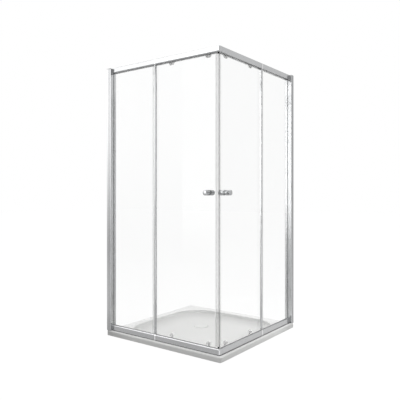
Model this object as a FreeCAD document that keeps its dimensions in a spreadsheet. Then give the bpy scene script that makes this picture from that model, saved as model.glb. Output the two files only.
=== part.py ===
import FreeCAD, Part
import math
import os
import Sketcher
from types import SimpleNamespace

# Square corner-entry shower enclosure on a low tray, in millimetres.
# Two glass sides stand at a right angle. Each has a fixed pane next to its wall and a sliding
# door, and the two doors meet at the entry corner. The origin is the middle of the tray's
# underside, with +Z up. The left side faces -Y and its wall is at -X. The right side is its
# mirror image across the diagonal: it faces +X and its wall is at +Y.
#
# Pieces of the left side are placed in that side's own frame: "along" is the distance from the
# wall, "depth" the distance inwards from the rails' outer face, "up" the height above the tray.

DRIVING_SIZES = {
    # Tray
    "tray_size": 1000,
    "tray_height": 35,
    "tray_corner_radius": 12,
    "tray_edge_radius": 10,
    "basin_border": 66,
    "basin_corner_radius": 230,
    "basin_depth": 20,
    "basin_slope": 40,
    "basin_floor_radius": 10,
    "basin_rim_radius": 4,
    "floor_fall": 3,
    "floor_fall_radius": 300,
    # Drain and its lift-off cover
    "drain_offset": 65,
    "drain_hole_radius": 45,
    "drain_recess_radius": 57,
    "drain_recess_depth": 4,
    "cover_rim_gap": 3,
    "cover_thickness": 3,
    "cover_crown": 3,
    "cover_foot_radius": 3,
    "cover_foot_height": 2.5,
    # Wall profile and the jamb that telescopes in it
    "frame_height": 1903,
    "rail_inset": 20,
    "profile_drop": 3,
    "profile_reach": 20,
    "profile_proud": 20,
    "profile_depth": 58,
    "profile_wall": 2,
    "profile_cap_thickness": 3,
    "wall_hole_radius": 3.25,
    "wall_hole_end_gap": 201.5,
    "jamb_back": 8,
    "jamb_face": 37,
    "jamb_wall": 2,
    "jamb_side_gap": 0.5,
    "jamb_slot_depth": 12,
    "gasket_thickness": 1,
    "adjuster_end_gap": 250,
    "adjuster_radius": 1.9,
    "adjuster_hole_gap": 0.1,
    "adjuster_head_radius": 4,
    "adjuster_head_height": 2,
    "adjuster_grip": 7,
    # Fixed pane and its post
    "glass_thickness": 5,
    "fixed_glass_depth": 11,
    "glass_slot_gap": 0.5,
    "glass_setting_gap": 1,
    "post_width": 15,
    "post_front": 6,
    "post_back": 2.5,
    "post_web": 5,
    "post_slot_gap": 0.25,
    "post_round": 5,
    # Rails, their clips, corner connectors and end plugs
    "rail_height": 40,
    "top_rail_height": 36,
    "rail_wall": 2,
    "rail_round": 8,
    "rail_edge": 2,
    "slot_leg_lift": 5,
    "rail_seat": 12,
    "track_width": 2,
    "track_lip": 9,
    "track_low_top": 12,
    "rail_upstand": 16,
    "clip_setback": 1,
    "clip_width": 6,
    "clip_thickness": 1.2,
    "clip_gap": 0.1,
    "clip_return": 10,
    "clip_post_gap": 0.4,
    "corner_size": 28,
    "tongue_length": 30,
    "tongue_gap": 0.3,
    # Sliding door
    "door_gap": 7,
    "door_width": 529,
    "door_lead_edge": 36,
    "door_overlap": 36,
    "door_rail_gap": 8,
    "door_wall_gap": 19.5,
    "door_end_gap": 1,
    "edge_wall": 1.75,
    "edge_slot_gap": 0.25,
    "edge_back": 44,
    "meet_gap": 0.35,
    "magnet_key_width": 4,
    "magnet_key_depth": 2.5,
    "magnet_key_gap": 0.1,
    "seal_wall": 1,
    "seal_cover": 10,
    "seal_web": 3.5,
    "seal_lip_reach": 5,
    "stop_length": 15,
    "stop_gap": 0.3,
    "stop_drop": 18,
    # Through-glass knobs
    "knob_place": 100,
    "knob_height": 1000,
    "knob_radius": 17.5,
    "knob_length": 42,
    "knob_round": 4,
    "knob_neck_radius": 14,
    "knob_neck_length": 3,
    "knob_bolt_radius": 3,
    "knob_bolt_grip": 12,
    "knob_bolt_gap": 0.1,
    "knob_washer_thickness": 1,
    "knob_glass_hole": 5,
    # Grooved wheels, used above and below
    "roller_front": 105,
    "roller_rear": 406,
    "groove_radius": 9,
    "groove_width": 2.6,
    "wheel_flange": 2,
    "wheel_width": 5,
    "wheel_side_gap": 1,
    "wheel_play": 0.3,
    "wheel_headroom": 2.7,
    "track_gap": 0.3,
    "axle_radius": 3,
    "axle_running_gap": 0.05,
    "axle_head_radius": 4.5,
    "axle_head_thickness": 1.5,
    "axle_grip": 3,
    "rail_running_gap": 0.7,
    # Upper brackets and the clamp plates outside the glass
    "bracket_width": 46,
    "bracket_thickness": 3.5,
    "bracket_drop": 18,
    "bracket_top": 7,
    "bracket_round": 14,
    "clamp_thickness": 2.4,
    "clamp_radius": 9,
    "clamp_stud_radius": 2.5,
    "clamp_hole_gap": 1,
    "clamp_fit_gap": 0.05,
    "clamp_grip": 3,
    # Lower guides with sprung, releasable wheels
    "guide_width": 28,
    "guide_depth": 12.5,
    "guide_height": 14,
    "guide_stud_place": 10,
    "guide_stud_radius": 2,
    "guide_stud_grip": 6,
    "guide_plate_margin": 1,
    "stem_depth": 6.2,
    "stem_radius": 2.5,
    "stem_gap": 0.3,
    "spring_wall": 1,
    "spring_gap": 0.3,
    "spring_pocket_depth": 11,
    "slider_width": 14,
    "slider_plate": 2.4,
    "slider_foot": 6,
    "shoulder_clearance": 1.2,
    "shoulder_height": 4,
    "shoulder_depth": 9.2,
    "release_travel": 6,
    "release_gap": 0.3,
    "button_width": 18,
    "button_depth": 10,
    "button_height": 5,
}

WALL_HOLES = 4
ADJUSTERS = 3
COVER_FEET = 4
MATCH = 1e-3


class Size:
    """A number together with the sheet formula that gives it."""

    def __init__(self, value, formula):
        self.value = value
        self.formula = formula

    def __add__(self, other):
        other = as_size(other)
        return Size(self.value + other.value, f"({self.formula} + {other.formula})")

    def __sub__(self, other):
        other = as_size(other)
        return Size(self.value - other.value, f"({self.formula} - {other.formula})")

    def __mul__(self, factor):
        return Size(self.value * factor, f"({self.formula} * {factor})")

    def __truediv__(self, divisor):
        return Size(self.value / divisor, f"({self.formula} / {divisor})")

    def __neg__(self):
        return Size(-self.value, f"(0 - {self.formula})")


def as_size(number):
    """A plain number as a Size; a Size as it is."""
    if isinstance(number, Size):
        return number
    return Size(float(number), f"({float(number)})")


doc = FreeCAD.newDocument("shower_enclosure")
dims = SimpleNamespace()
for size_word, size_number in DRIVING_SIZES.items():
    setattr(dims, size_word, Size(float(size_number), f"dims.{size_word}"))
nodes = []


def make_sheet():
    """Write every driving size into the sheet, with its name as the cell's alias."""
    sheet = doc.addObject("Spreadsheet::Sheet", "dims")
    for row, (word, number) in enumerate(DRIVING_SIZES.items(), start=1):
        sheet.set(f"A{row}", word)
        sheet.set(f"B{row}", str(number))
        sheet.setAlias(f"B{row}", word)
    doc.recompute()


# Sizes worked out from the driving ones

side_length = dims.tray_size - dims.rail_inset
wall_plane = -(dims.tray_size / 2)
rail_face = dims.rail_inset - dims.tray_size / 2
frame_top = dims.frame_height
profile_inside = dims.profile_depth - dims.profile_proud
cap_top = frame_top - dims.profile_drop
profile_top = cap_top - dims.profile_cap_thickness
jamb_outside = -(dims.profile_proud - dims.profile_wall - dims.jamb_side_gap)
jamb_inside = profile_inside - dims.profile_wall - dims.jamb_side_gap

fixed_front = dims.fixed_glass_depth
fixed_back = fixed_front + dims.glass_thickness
slot_front = fixed_front - dims.glass_slot_gap
slot_back = fixed_back + dims.glass_slot_gap
door_front = fixed_back + dims.door_gap
door_back = door_front + dims.glass_thickness

wheel_radius = dims.groove_radius + dims.wheel_flange
wheel_front = door_back + dims.bracket_thickness + dims.wheel_side_gap
wheel_back = wheel_front + dims.wheel_width
track_middle = wheel_front + dims.wheel_width / 2
track_front = track_middle - dims.track_width / 2
track_back = track_middle + dims.track_width / 2
axle_head_front = wheel_back + dims.wheel_play
axle_head_back = axle_head_front + dims.axle_head_thickness
rail_inside = axle_head_back + dims.rail_running_gap
rail_depth = rail_inside + dims.rail_wall

upper_rail_bottom = frame_top - dims.top_rail_height
upper_axle = frame_top - dims.rail_wall - dims.wheel_headroom - wheel_radius
upper_track_top = upper_axle - dims.groove_radius - dims.track_gap
lower_axle = dims.track_low_top + dims.track_gap + dims.groove_radius

along_corner = side_length - dims.corner_size
door_lead = side_length - dims.door_lead_edge
door_rear = door_lead - dims.door_width
door_travel = door_rear - dims.seal_web - dims.jamb_face - dims.door_wall_gap
post_edge = door_rear + dims.door_overlap
along_knob = side_length - dims.knob_place
along_rollers = {
    "front": side_length - dims.roller_front,
    "rear": side_length - dims.roller_rear,
}

shoulder_bottom = lower_axle + wheel_radius + dims.shoulder_clearance
shoulder_top = shoulder_bottom + dims.shoulder_height
guide_bottom = shoulder_top + dims.release_travel + dims.release_gap
guide_top = guide_bottom + dims.guide_height
stem_middle = door_back + dims.stem_depth
button_bottom = guide_top + dims.release_gap


# Building blocks

def bind(thing, prop, size):
    """Tie one property to a sheet formula."""
    thing.setExpression(prop, as_size(size).formula)


def place(thing, x, y, z):
    """Tie the position of an object to sheet formulas."""
    for axis, size in zip("xyz", (x, y, z)):
        bind(thing, f"Placement.Base.{axis}", size)


def place_in_side(thing, along, depth, up):
    """Position an object in the left side's frame."""
    place(thing, wall_plane + along, rail_face + depth, dims.tray_height + up)


def draw_loop(sketch, corners):
    """Draw a closed outline of straight lines, with each corner tied to its formulas."""
    first = sketch.GeometryCount
    count = len(corners)
    corners = [(as_size(across), as_size(up)) for across, up in corners]
    spots = [FreeCAD.Vector(across.value, up.value, 0) for across, up in corners]
    for index in range(count):
        sketch.addGeometry(Part.LineSegment(spots[index], spots[(index + 1) % count]), False)
    for index in range(count):
        following = first + (index + 1) % count
        sketch.addConstraint(Sketcher.Constraint("Coincident", first + index, 2, following, 1))
    for index, corner in enumerate(corners):
        for kind, size in zip(("DistanceX", "DistanceY"), corner):
            number = sketch.addConstraint(Sketcher.Constraint(kind, first + index, 1, size.value))
            sketch.setExpression(f"Constraints[{number}]", size.formula)


def draw_rounded_square(sketch, half, radius):
    """Draw a square about the sketch's origin with equal round corners."""
    reach = half.value
    bend = radius.value
    flat = reach - bend
    ends = [((-flat, -reach), (flat, -reach)), ((reach, -flat), (reach, flat)),
            ((flat, reach), (-flat, reach)), ((-reach, flat), (-reach, -flat))]
    centres = [(flat, -flat), (flat, flat), (-flat, flat), (-flat, -flat)]
    quarter = FreeCAD.Units.parseQuantity("90 deg").getValueAs("rad").Value
    for turn, (line, centre) in enumerate(zip(ends, centres)):
        sketch.addGeometry(Part.LineSegment(*[FreeCAD.Vector(*end, 0) for end in line]), False)
        circle = Part.Circle(FreeCAD.Vector(*centre, 0), FreeCAD.Vector(0, 0, 1), bend)
        sketch.addGeometry(Part.ArcOfCircle(circle, (turn - 1) * quarter, turn * quarter), False)
    for index in range(8):
        sketch.addConstraint(Sketcher.Constraint("Tangent", index, 2, (index + 1) % 8, 1))
    for index in (3, 5, 7):
        sketch.addConstraint(Sketcher.Constraint("Equal", 1, index))
    for index, kind in ((0, "Horizontal"), (2, "Vertical"), (4, "Horizontal"), (6, "Vertical")):
        sketch.addConstraint(Sketcher.Constraint(kind, index))
    number = sketch.addConstraint(Sketcher.Constraint("Radius", 1, bend))
    sketch.setExpression(f"Constraints[{number}]", radius.formula)
    for index, kind, size in ((0, "DistanceY", -half), (2, "DistanceX", half),
                              (4, "DistanceY", half), (6, "DistanceX", -half)):
        number = sketch.addConstraint(Sketcher.Constraint(kind, index, 1, size.value))
        sketch.setExpression(f"Constraints[{number}]", size.formula)


def new_sketch(body, plane):
    """Start a sketch on one of the body's own origin planes."""
    support = [feature for feature in body.Origin.OriginFeatures if feature.Role == plane][0]
    sketch = body.newObject("Sketcher::SketchObject", "outline")
    sketch.AttachmentSupport = [(support, "")]
    sketch.MapMode = "FlatFace"
    return sketch


def extrusion(plane, loops, length):
    """A body padded from closed outlines: the first is the outside, the others are hollows."""
    body = doc.addObject("PartDesign::Body", "extrusion")
    sketch = new_sketch(body, plane)
    for corners in loops:
        draw_loop(sketch, corners)
    pad = body.newObject("PartDesign::Pad", "pad")
    pad.Profile = sketch
    pad.Reversed = plane == "XZ_Plane"
    bind(pad, "Length", length)
    return body


def upright(outline, bottom, top, *hollows):
    """A vertical profile of the left side, outlined in along and depth."""
    body = extrusion("XY_Plane", [outline, *hollows], top - bottom)
    place_in_side(body, 0, 0, bottom)
    return body


def bar(outline, start, end, bottom, *hollows):
    """A profile of the left side that runs along the wall direction, outlined in depth and up."""
    body = extrusion("YZ_Plane", [outline, *hollows], end - start)
    place_in_side(body, start, 0, bottom)
    return body


def plate(outline, front, back, along, up):
    """A plate of the left side parallel to the glass, outlined in along and up from a middle."""
    body = extrusion("XZ_Plane", [outline], back - front)
    place_in_side(body, along, front, up)
    return body


def turned(outline, along, depth, up, plane="XY_Plane"):
    """A body of revolution, outlined in radius and axis; its axis lies along depth."""
    body = doc.addObject("PartDesign::Body", "turned")
    sketch = new_sketch(body, plane)
    draw_loop(sketch, outline)
    turn = body.newObject("PartDesign::Revolution", "turn")
    turn.Profile = sketch
    turn.ReferenceAxis = (sketch, ["V_Axis"])
    turn.Angle = 360
    place_in_side(body, along, depth, up)
    return body


def box(along, depth, up):
    """A block of the left side between pairs of limits."""
    block = doc.addObject("Part::Box", "block")
    for prop, (low, high) in (("Length", along), ("Width", depth), ("Height", up)):
        bind(block, prop, as_size(high) - low)
    place_in_side(block, along[0], depth[0], up[0])
    return block


def rod(radius, along, depth, up):
    """A round bar or drill of the left side, with its axis along depth between two limits."""
    cylinder = doc.addObject("Part::Cylinder", "rod")
    cylinder.Placement.Rotation = FreeCAD.Rotation(FreeCAD.Vector(1, 0, 0), -90)
    bind(cylinder, "Radius", radius)
    bind(cylinder, "Height", as_size(depth[1]) - depth[0])
    place_in_side(cylinder, along, depth[0], up)
    return cylinder


def upright_rod(radius, along, depth, up):
    """A round bar or drill of the left side, upright between two limits."""
    cylinder = doc.addObject("Part::Cylinder", "upright_rod")
    bind(cylinder, "Radius", radius)
    bind(cylinder, "Height", as_size(up[1]) - up[0])
    place_in_side(cylinder, along, depth, up[0])
    return cylinder


def drill_into_wall(radius, along, depth, up):
    """A drill with its axis along the wall direction, between two limits."""
    cylinder = doc.addObject("Part::Cylinder", "wall_drill")
    cylinder.Placement.Rotation = FreeCAD.Rotation(FreeCAD.Vector(0, 1, 0), 90)
    bind(cylinder, "Radius", radius)
    bind(cylinder, "Height", as_size(along[1]) - along[0])
    place_in_side(cylinder, along[0], depth, up)
    return cylinder


def join(*pieces):
    """One solid made of several."""
    fused = doc.addObject("Part::MultiFuse", "join")
    fused.Shapes = list(pieces)
    fused.Refine = True
    return fused


def cut(base, *tools):
    """A piece with others taken out of it."""
    left = doc.addObject("Part::Cut", "cut")
    left.Base = base
    left.Tool = tools[0] if len(tools) == 1 else gather(*tools)
    return left


def gather(*pieces):
    """Separate solids kept as one object."""
    together = doc.addObject("Part::Compound", "group")
    together.Links = list(pieces)
    return together


def mirrored(piece):
    """The right side's copy of a left piece, across the diagonal plane."""
    copy = doc.addObject("Part::Mirroring", "mirrored")
    copy.Source = piece
    copy.Base = FreeCAD.Vector(0, 0, 0)
    copy.Normal = FreeCAD.Vector(1, 1, 0)
    return copy


def round_edges(body, radius, chosen):
    """Fillet the edges of a body for which chosen(edge) holds, in the body's own frame."""
    doc.recompute()
    base = body.Tip
    names = [f"Edge{number}" for number, edge in enumerate(base.Shape.Edges, start=1) if chosen(edge)]
    if not names:
        raise RuntimeError(f"no edge to round on {body.Name}")
    fillet = body.newObject("PartDesign::Fillet", "rounding")
    fillet.Base = (base, names)
    bind(fillet, "Radius", radius)
    doc.recompute()


def edge_through(*spots):
    """Chooses edges that pass through any of the given points of the body's own frame."""
    vertices = [Part.Vertex(FreeCAD.Vector(*[as_size(number).value for number in spot])) for spot in spots]
    return lambda edge: any(edge.distToShape(vertex)[0] < MATCH for vertex in vertices)


def edge_level(height):
    """Chooses edges that lie flat at the given height of the body's own frame."""
    level = as_size(height).value
    return lambda edge: max(abs(edge.BoundBox.ZMin - level), abs(edge.BoundBox.ZMax - level)) < MATCH


def keep(label, piece):
    """Name a finished sub-part, which is written to a file of that name."""
    piece.Label = label
    nodes.append(piece)


def keep_pair(name, left_piece):
    """Name a finished left sub-part and make its right twin."""
    keep(f"left_{name}", left_piece)
    keep(f"right_{name}", mirrored(left_piece))


# Tray and drain

def make_tray():
    """Low square tray: round-cornered slab, shallow basin, floor falling to the drain."""
    body = doc.addObject("PartDesign::Body", "tray_body")
    sketch = new_sketch(body, "XY_Plane")
    draw_rounded_square(sketch, dims.tray_size / 2, dims.tray_corner_radius)
    slab = body.newObject("PartDesign::Pad", "slab")
    slab.Profile = sketch
    bind(slab, "Length", dims.tray_height)
    round_edges(body, dims.tray_edge_radius, edge_level(dims.tray_height))
    basin_sketch = new_sketch(body, "XY_Plane")
    bind(basin_sketch, "AttachmentOffset.Base.z", dims.tray_height)
    basin_half = dims.tray_size / 2 - dims.basin_border
    draw_rounded_square(basin_sketch, basin_half, dims.basin_corner_radius)
    basin = body.newObject("PartDesign::Pocket", "basin")
    basin.Profile = basin_sketch
    bind(basin, "Length", dims.basin_depth)
    bind(basin, "TaperAngle", -dims.basin_slope)
    floor = dims.tray_height - dims.basin_depth
    round_edges(body, dims.basin_floor_radius, edge_level(floor))
    at_rim = edge_level(dims.tray_height)
    reach = basin_half.value + MATCH
    basin_area = FreeCAD.BoundBox(-reach, -reach, 0, reach, reach, dims.tray_height.value + MATCH)
    round_edges(body, dims.basin_rim_radius,
                lambda edge: at_rim(edge) and basin_area.isInside(edge.BoundBox))

    fall = doc.addObject("Part::Cone", "floor_fall_cone")
    bind(fall, "Radius1", dims.drain_recess_radius)
    bind(fall, "Radius2", dims.floor_fall_radius)
    bind(fall, "Height", dims.floor_fall)
    drain_floor = floor - dims.floor_fall
    place(fall, -dims.drain_offset, dims.drain_offset, drain_floor)
    ledge = drain_floor - dims.drain_recess_depth
    recess = doc.addObject("Part::Cylinder", "drain_recess")
    bind(recess, "Radius", dims.drain_recess_radius)
    bind(recess, "Height", dims.drain_recess_depth)
    place(recess, -dims.drain_offset, dims.drain_offset, ledge)
    hole = doc.addObject("Part::Cylinder", "drain_hole")
    bind(hole, "Radius", dims.drain_hole_radius)
    bind(hole, "Height", ledge)
    place(hole, -dims.drain_offset, dims.drain_offset, 0)
    keep("shower_tray", cut(body, join(fall, recess, hole)))
    return ledge


def make_drain_cover(ledge):
    """Domed cover that stands on four feet round the drain, so that water runs in under its rim."""
    radius = dims.drain_recess_radius - dims.cover_rim_gap
    under = dims.cover_foot_height
    rim = under + dims.cover_thickness
    crown = rim + dims.cover_crown
    shoulder = radius * 0.7
    body = doc.addObject("PartDesign::Body", "cover_body")
    sketch = new_sketch(body, "XZ_Plane")
    draw_loop(sketch, [(0, under), (radius, under), (radius, rim), (shoulder, crown), (0, crown)])
    turn = body.newObject("PartDesign::Revolution", "turn")
    turn.Profile = sketch
    turn.ReferenceAxis = (sketch, ["V_Axis"])
    turn.Angle = 360
    round_edges(body, dims.cover_crown, edge_through((shoulder, 0, crown)))
    place(body, -dims.drain_offset, dims.drain_offset, ledge)
    foot_circle = (dims.drain_hole_radius + radius) / 2
    feet = []
    for turn_share in range(COVER_FEET):
        angle = FreeCAD.Rotation(FreeCAD.Vector(0, 0, 1), 360 * turn_share / COVER_FEET)
        way = angle.multVec(FreeCAD.Vector(1, 0, 0))
        foot = doc.addObject("Part::Cylinder", "cover_foot")
        bind(foot, "Radius", dims.cover_foot_radius)
        bind(foot, "Height", dims.cover_foot_height)
        place(foot, foot_circle * round(way.x) - dims.drain_offset,
              foot_circle * round(way.y) + dims.drain_offset, ledge)
        feet.append(foot)
    keep("drain_cover", join(body, *feet))


# Wall profiles, jambs and fixed panes

def spread(end_gap, count):
    """Heights of evenly spread screws, with the same gap at the bottom and at the top."""
    pitch = (frame_top - end_gap * 2) / (count - 1)
    return [end_gap + pitch * index for index in range(count)]


def adjuster_heights():
    return spread(dims.adjuster_end_gap, ADJUSTERS)


def make_wall_profile():
    """U channel screwed to the wall, with holes for wall screws and for the jamb's screws."""
    wall = dims.profile_wall
    outside = -dims.profile_proud
    outline = [(0, outside), (dims.profile_reach, outside), (dims.profile_reach, outside + wall),
               (wall, outside + wall), (wall, profile_inside - wall),
               (dims.profile_reach, profile_inside - wall), (dims.profile_reach, profile_inside),
               (0, profile_inside)]
    channel = upright(outline, as_size(0), profile_top)
    middle = (profile_inside - dims.profile_proud) / 2
    drills = []
    for up in spread(dims.wall_hole_end_gap, WALL_HOLES):
        drills.append(drill_into_wall(dims.wall_hole_radius, (-wall, wall * 2), middle, up))
    for up in adjuster_heights():
        drills.append(adjuster_drill(up))
    return cut(channel, *drills)


def adjuster_place():
    return (dims.jamb_back + dims.profile_reach) / 2


def adjuster_drill(up):
    """Drill through the wall profile's inner flange and the jamb's inner wall."""
    radius = dims.adjuster_radius + dims.adjuster_hole_gap
    return rod(radius, adjuster_place(), (profile_inside - dims.adjuster_grip, profile_inside + 1), up)


def make_adjuster_screws():
    """Screws that hold the jamb where it was set in the wall profile."""
    screws = []
    for up in adjuster_heights():
        grip = dims.adjuster_grip
        head = grip + dims.adjuster_head_height
        outline = [(0, 0), (dims.adjuster_radius, 0), (dims.adjuster_radius, grip),
                   (dims.adjuster_head_radius, grip), (dims.adjuster_head_radius, head), (0, head)]
        screws.append(turned(outline, adjuster_place(), profile_inside - grip, up))
    return screws


def make_jamb():
    """Hollow upright that slides in the wall profile and holds the fixed pane's edge in a slot."""
    wall = dims.jamb_wall
    back, face = dims.jamb_back, dims.jamb_face
    slot_end = face - dims.jamb_slot_depth
    slot_low = fixed_front - dims.gasket_thickness
    slot_high = fixed_back + dims.gasket_thickness
    outline = [(back, jamb_outside), (face, jamb_outside), (face, slot_low), (slot_end, slot_low),
               (slot_end, slot_high), (face, slot_high), (face, jamb_inside), (back, jamb_inside)]
    hollow = [(back + wall, jamb_outside + wall), (face - wall, jamb_outside + wall),
              (face - wall, slot_low - wall), (slot_end - wall, slot_low - wall),
              (slot_end - wall, slot_high + wall), (face - wall, slot_high + wall),
              (face - wall, jamb_inside - wall), (back + wall, jamb_inside - wall)]
    tube = upright(outline, as_size(0), profile_top, hollow)
    return cut(tube, *[adjuster_drill(up) for up in adjuster_heights()])


def make_jamb_gasket():
    """Rubber channel round the fixed pane's edge in the jamb's slot, between the two rails."""
    skin = dims.gasket_thickness
    face = dims.jamb_face
    slot_end = face - dims.jamb_slot_depth
    outline = [(slot_end, fixed_front - skin), (face, fixed_front - skin), (face, fixed_front),
               (slot_end + skin, fixed_front), (slot_end + skin, fixed_back), (face, fixed_back),
               (face, fixed_back + skin), (slot_end, fixed_back + skin)]
    return upright(outline, dims.rail_height, upper_rail_bottom)


def make_fixed_glass():
    """Fixed pane, set in the jamb, both rails and the post."""
    edge = dims.jamb_face - dims.jamb_slot_depth + dims.gasket_thickness
    grip = dims.rail_seat - dims.glass_setting_gap
    return box((edge, post_edge - dims.post_web), (fixed_front, fixed_back),
               (dims.rail_height - grip, upper_rail_bottom + grip))


def make_post():
    """Round-edged channel over the fixed pane's free edge, standing between the rails."""
    edge = post_edge
    start = edge - dims.post_width
    front = fixed_front - dims.post_front
    back = fixed_back + dims.post_back
    slot_low = fixed_front - dims.post_slot_gap
    slot_high = fixed_back + dims.post_slot_gap
    slot_end = edge - dims.post_web + dims.post_slot_gap
    outline = [(start, front), (edge, front), (edge, back), (start, back), (start, slot_high),
               (slot_end, slot_high), (slot_end, slot_low), (start, slot_low)]
    post = upright(outline, dims.rail_height, upper_rail_bottom)
    middle = (upper_rail_bottom - dims.rail_height) / 2
    round_edges(post, dims.post_round, edge_through((start, front, middle), (edge, front, middle)))
    return post


def make_profile_cap():
    """Cover on top of the wall profile and the jamb."""
    return box((0, dims.jamb_face), (-dims.profile_proud, profile_inside),
               (profile_top, cap_top))


# Rails

def mitre_tool():
    """Wedge that mitres a rail's inner part where it meets the other side's rail."""
    size = dims.corner_size
    reach = rail_depth + dims.rail_wall
    outline = [(side_length - size, size), (side_length - reach, reach), (side_length - size, reach)]
    return upright(outline, as_size(0), frame_top)


def make_top_rail():
    """Rail with a hollow round-edged nose, the pane's slot and an upturned track for the wheels."""
    high, wall, bend = dims.top_rail_height, dims.rail_wall, dims.rail_round
    web = high - wall
    track_top = upper_track_top - upper_rail_bottom
    ledge = track_top - dims.track_lip
    leg = dims.slot_leg_lift
    outline = [(0, 0), (slot_front, 0), (slot_front, web), (slot_back, web), (slot_back, leg),
               (slot_back + wall, leg), (slot_back + wall, web), (rail_inside, web),
               (rail_inside, ledge + wall), (track_back, ledge + wall), (track_back, track_top),
               (track_front, track_top), (track_front, ledge), (rail_depth, ledge),
               (rail_depth, high), (0, high)]
    hollow = [(wall, bend), (bend, wall), (slot_front - wall, wall), (slot_front - wall, web), (wall, web)]
    rail = bar(outline, dims.jamb_face, along_corner, upper_rail_bottom, hollow)
    middle = (along_corner - dims.jamb_face) / 2
    round_edges(rail, bend, edge_through((middle, 0, 0)))
    round_edges(rail, dims.rail_edge, edge_through((middle, 0, high)))
    return cut(rail, mitre_tool())


def make_bottom_rail():
    """Rail on the tray with a hollow round-edged nose, the pane's slot and the lower wheels' track."""
    high, wall, bend = dims.rail_height, dims.rail_wall, dims.rail_round
    web = high - wall
    seat = high - dims.rail_seat
    outline = [(0, 0), (rail_depth, 0), (rail_depth, dims.rail_upstand), (rail_inside, dims.rail_upstand),
               (rail_inside, wall), (track_back, wall), (track_back, dims.track_low_top),
               (track_front, dims.track_low_top), (track_front, wall), (slot_back + wall, wall),
               (slot_back + wall, high), (slot_back, high), (slot_back, seat), (slot_front, seat),
               (slot_front, high), (0, high)]
    hollow = [(wall, wall), (slot_front - wall, wall), (slot_front - wall, web), (bend, web),
              (wall, high - bend)]
    rail = bar(outline, dims.jamb_face, along_corner, as_size(0), hollow)
    middle = (along_corner - dims.jamb_face) / 2
    round_edges(rail, bend, edge_through((middle, 0, high)))
    round_edges(rail, dims.rail_edge, edge_through((middle, 0, 0)))
    return cut(rail, mitre_tool())


def height_of_rail(upside):
    """Height of the top rail, which hangs upside down, or of the bottom rail."""
    return dims.top_rail_height if upside else dims.rail_height


def nose_plug(start, end, rail_bottom, upside):
    """Block that fits the hollow of a rail's nose, clear of its round edge."""
    gap = dims.tongue_gap
    wall, bend, high = dims.rail_wall, dims.rail_round, height_of_rail(upside)
    low = bend + gap if upside else wall + gap
    top = high - wall - gap if upside else high - bend - gap
    return box((start, end), (wall + gap, slot_front - wall - gap), (rail_bottom + low, rail_bottom + top))


def make_corner_connector(rail_bottom, upside):
    """Corner block, rounded like the rails, with a tongue in each rail's nose."""
    size, high, bend = dims.corner_size, height_of_rail(upside), dims.rail_round
    outline = [(0, 0), (size, 0), (size, high), (0, high)]
    block = bar(outline, along_corner, side_length, rail_bottom)
    glass_edge, far_edge = (as_size(0), high) if upside else (high, as_size(0))
    round_edges(block, bend, edge_through((size, 0, high / 2), (size / 2, 0, glass_edge),
                                          (size, size / 2, glass_edge)))
    turn = bend * (1 - math.sqrt(0.5))
    round_edges(block, dims.rail_edge, edge_through((size / 2, 0, far_edge), (size, size / 2, far_edge),
                                                    (size - turn, turn, far_edge)))
    tongue = nose_plug(along_corner - dims.tongue_length, along_corner, rail_bottom, upside)
    return join(block, tongue, mirrored(tongue))


def make_rail_clip(rail_bottom, upside):
    """Thin spring clip round the rail's face and round edge, in line with the post."""
    high, bend, thick, gap = height_of_rail(upside), dims.rail_round, dims.clip_thickness, dims.clip_gap
    reach = dims.clip_return
    inside, outside = -gap, -gap - thick
    if upside:
        bent, bent_out, end = -gap, -gap - thick, high
    else:
        bent, bent_out, end = high + gap, high + gap + thick, thick
    outline = [(inside, end), (outside, end), (outside, bent_out), (reach, bent_out), (reach, bent),
               (inside, bent)]
    start = post_edge - dims.clip_setback - dims.clip_width / 2
    clip = bar(outline, start, start + dims.clip_width, rail_bottom)
    middle = dims.clip_width / 2
    round_edges(clip, bend + gap, edge_through((middle, inside, bent)))
    round_edges(clip, bend + gap + thick, edge_through((middle, outside, bent_out)))
    post_face = fixed_front - dims.post_front
    post_side = box((start - thick, start + dims.clip_width + thick),
                    (post_face - dims.clip_post_gap, post_face + reach),
                    (rail_bottom - high, rail_bottom + high * 2))
    return cut(clip, post_side)


def make_door_stop():
    """Rubber block under the top rail's web that the rear upper bracket meets when the door is open."""
    face = along_rollers["rear"] - dims.bracket_width / 2 - door_travel - dims.stop_gap
    web = frame_top - dims.rail_wall
    front = door_back + dims.track_gap * 2
    return box((face - dims.stop_length, face), (front, door_back + dims.bracket_thickness + dims.track_gap),
               (web - dims.stop_drop, web))


# Sliding door

def clamp_height():
    """Middle of an upper clamp plate, just under the top rail."""
    return upper_rail_bottom - dims.clamp_radius - dims.clamp_hole_gap


def guide_middle():
    return (guide_bottom + guide_top) / 2


def make_door_glass():
    """Sliding pane with holes for the knob, the upper clamps and the lower clamps."""
    pane = box((door_rear, door_lead), (door_front, door_back),
               (dims.door_rail_gap, frame_top - dims.door_rail_gap))
    through = (door_front - 1, door_back + 1)
    drills = [rod(dims.knob_glass_hole, along_knob, through, dims.knob_height)]
    for along in along_rollers.values():
        drills.append(rod(dims.clamp_stud_radius + dims.clamp_hole_gap, along, through, clamp_height()))
        for offset in (-dims.guide_stud_place, dims.guide_stud_place):
            radius = dims.guide_stud_radius + dims.clamp_hole_gap
            drills.append(rod(radius, along + offset, through, guide_middle()))
    return cut(pane, *drills)


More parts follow.
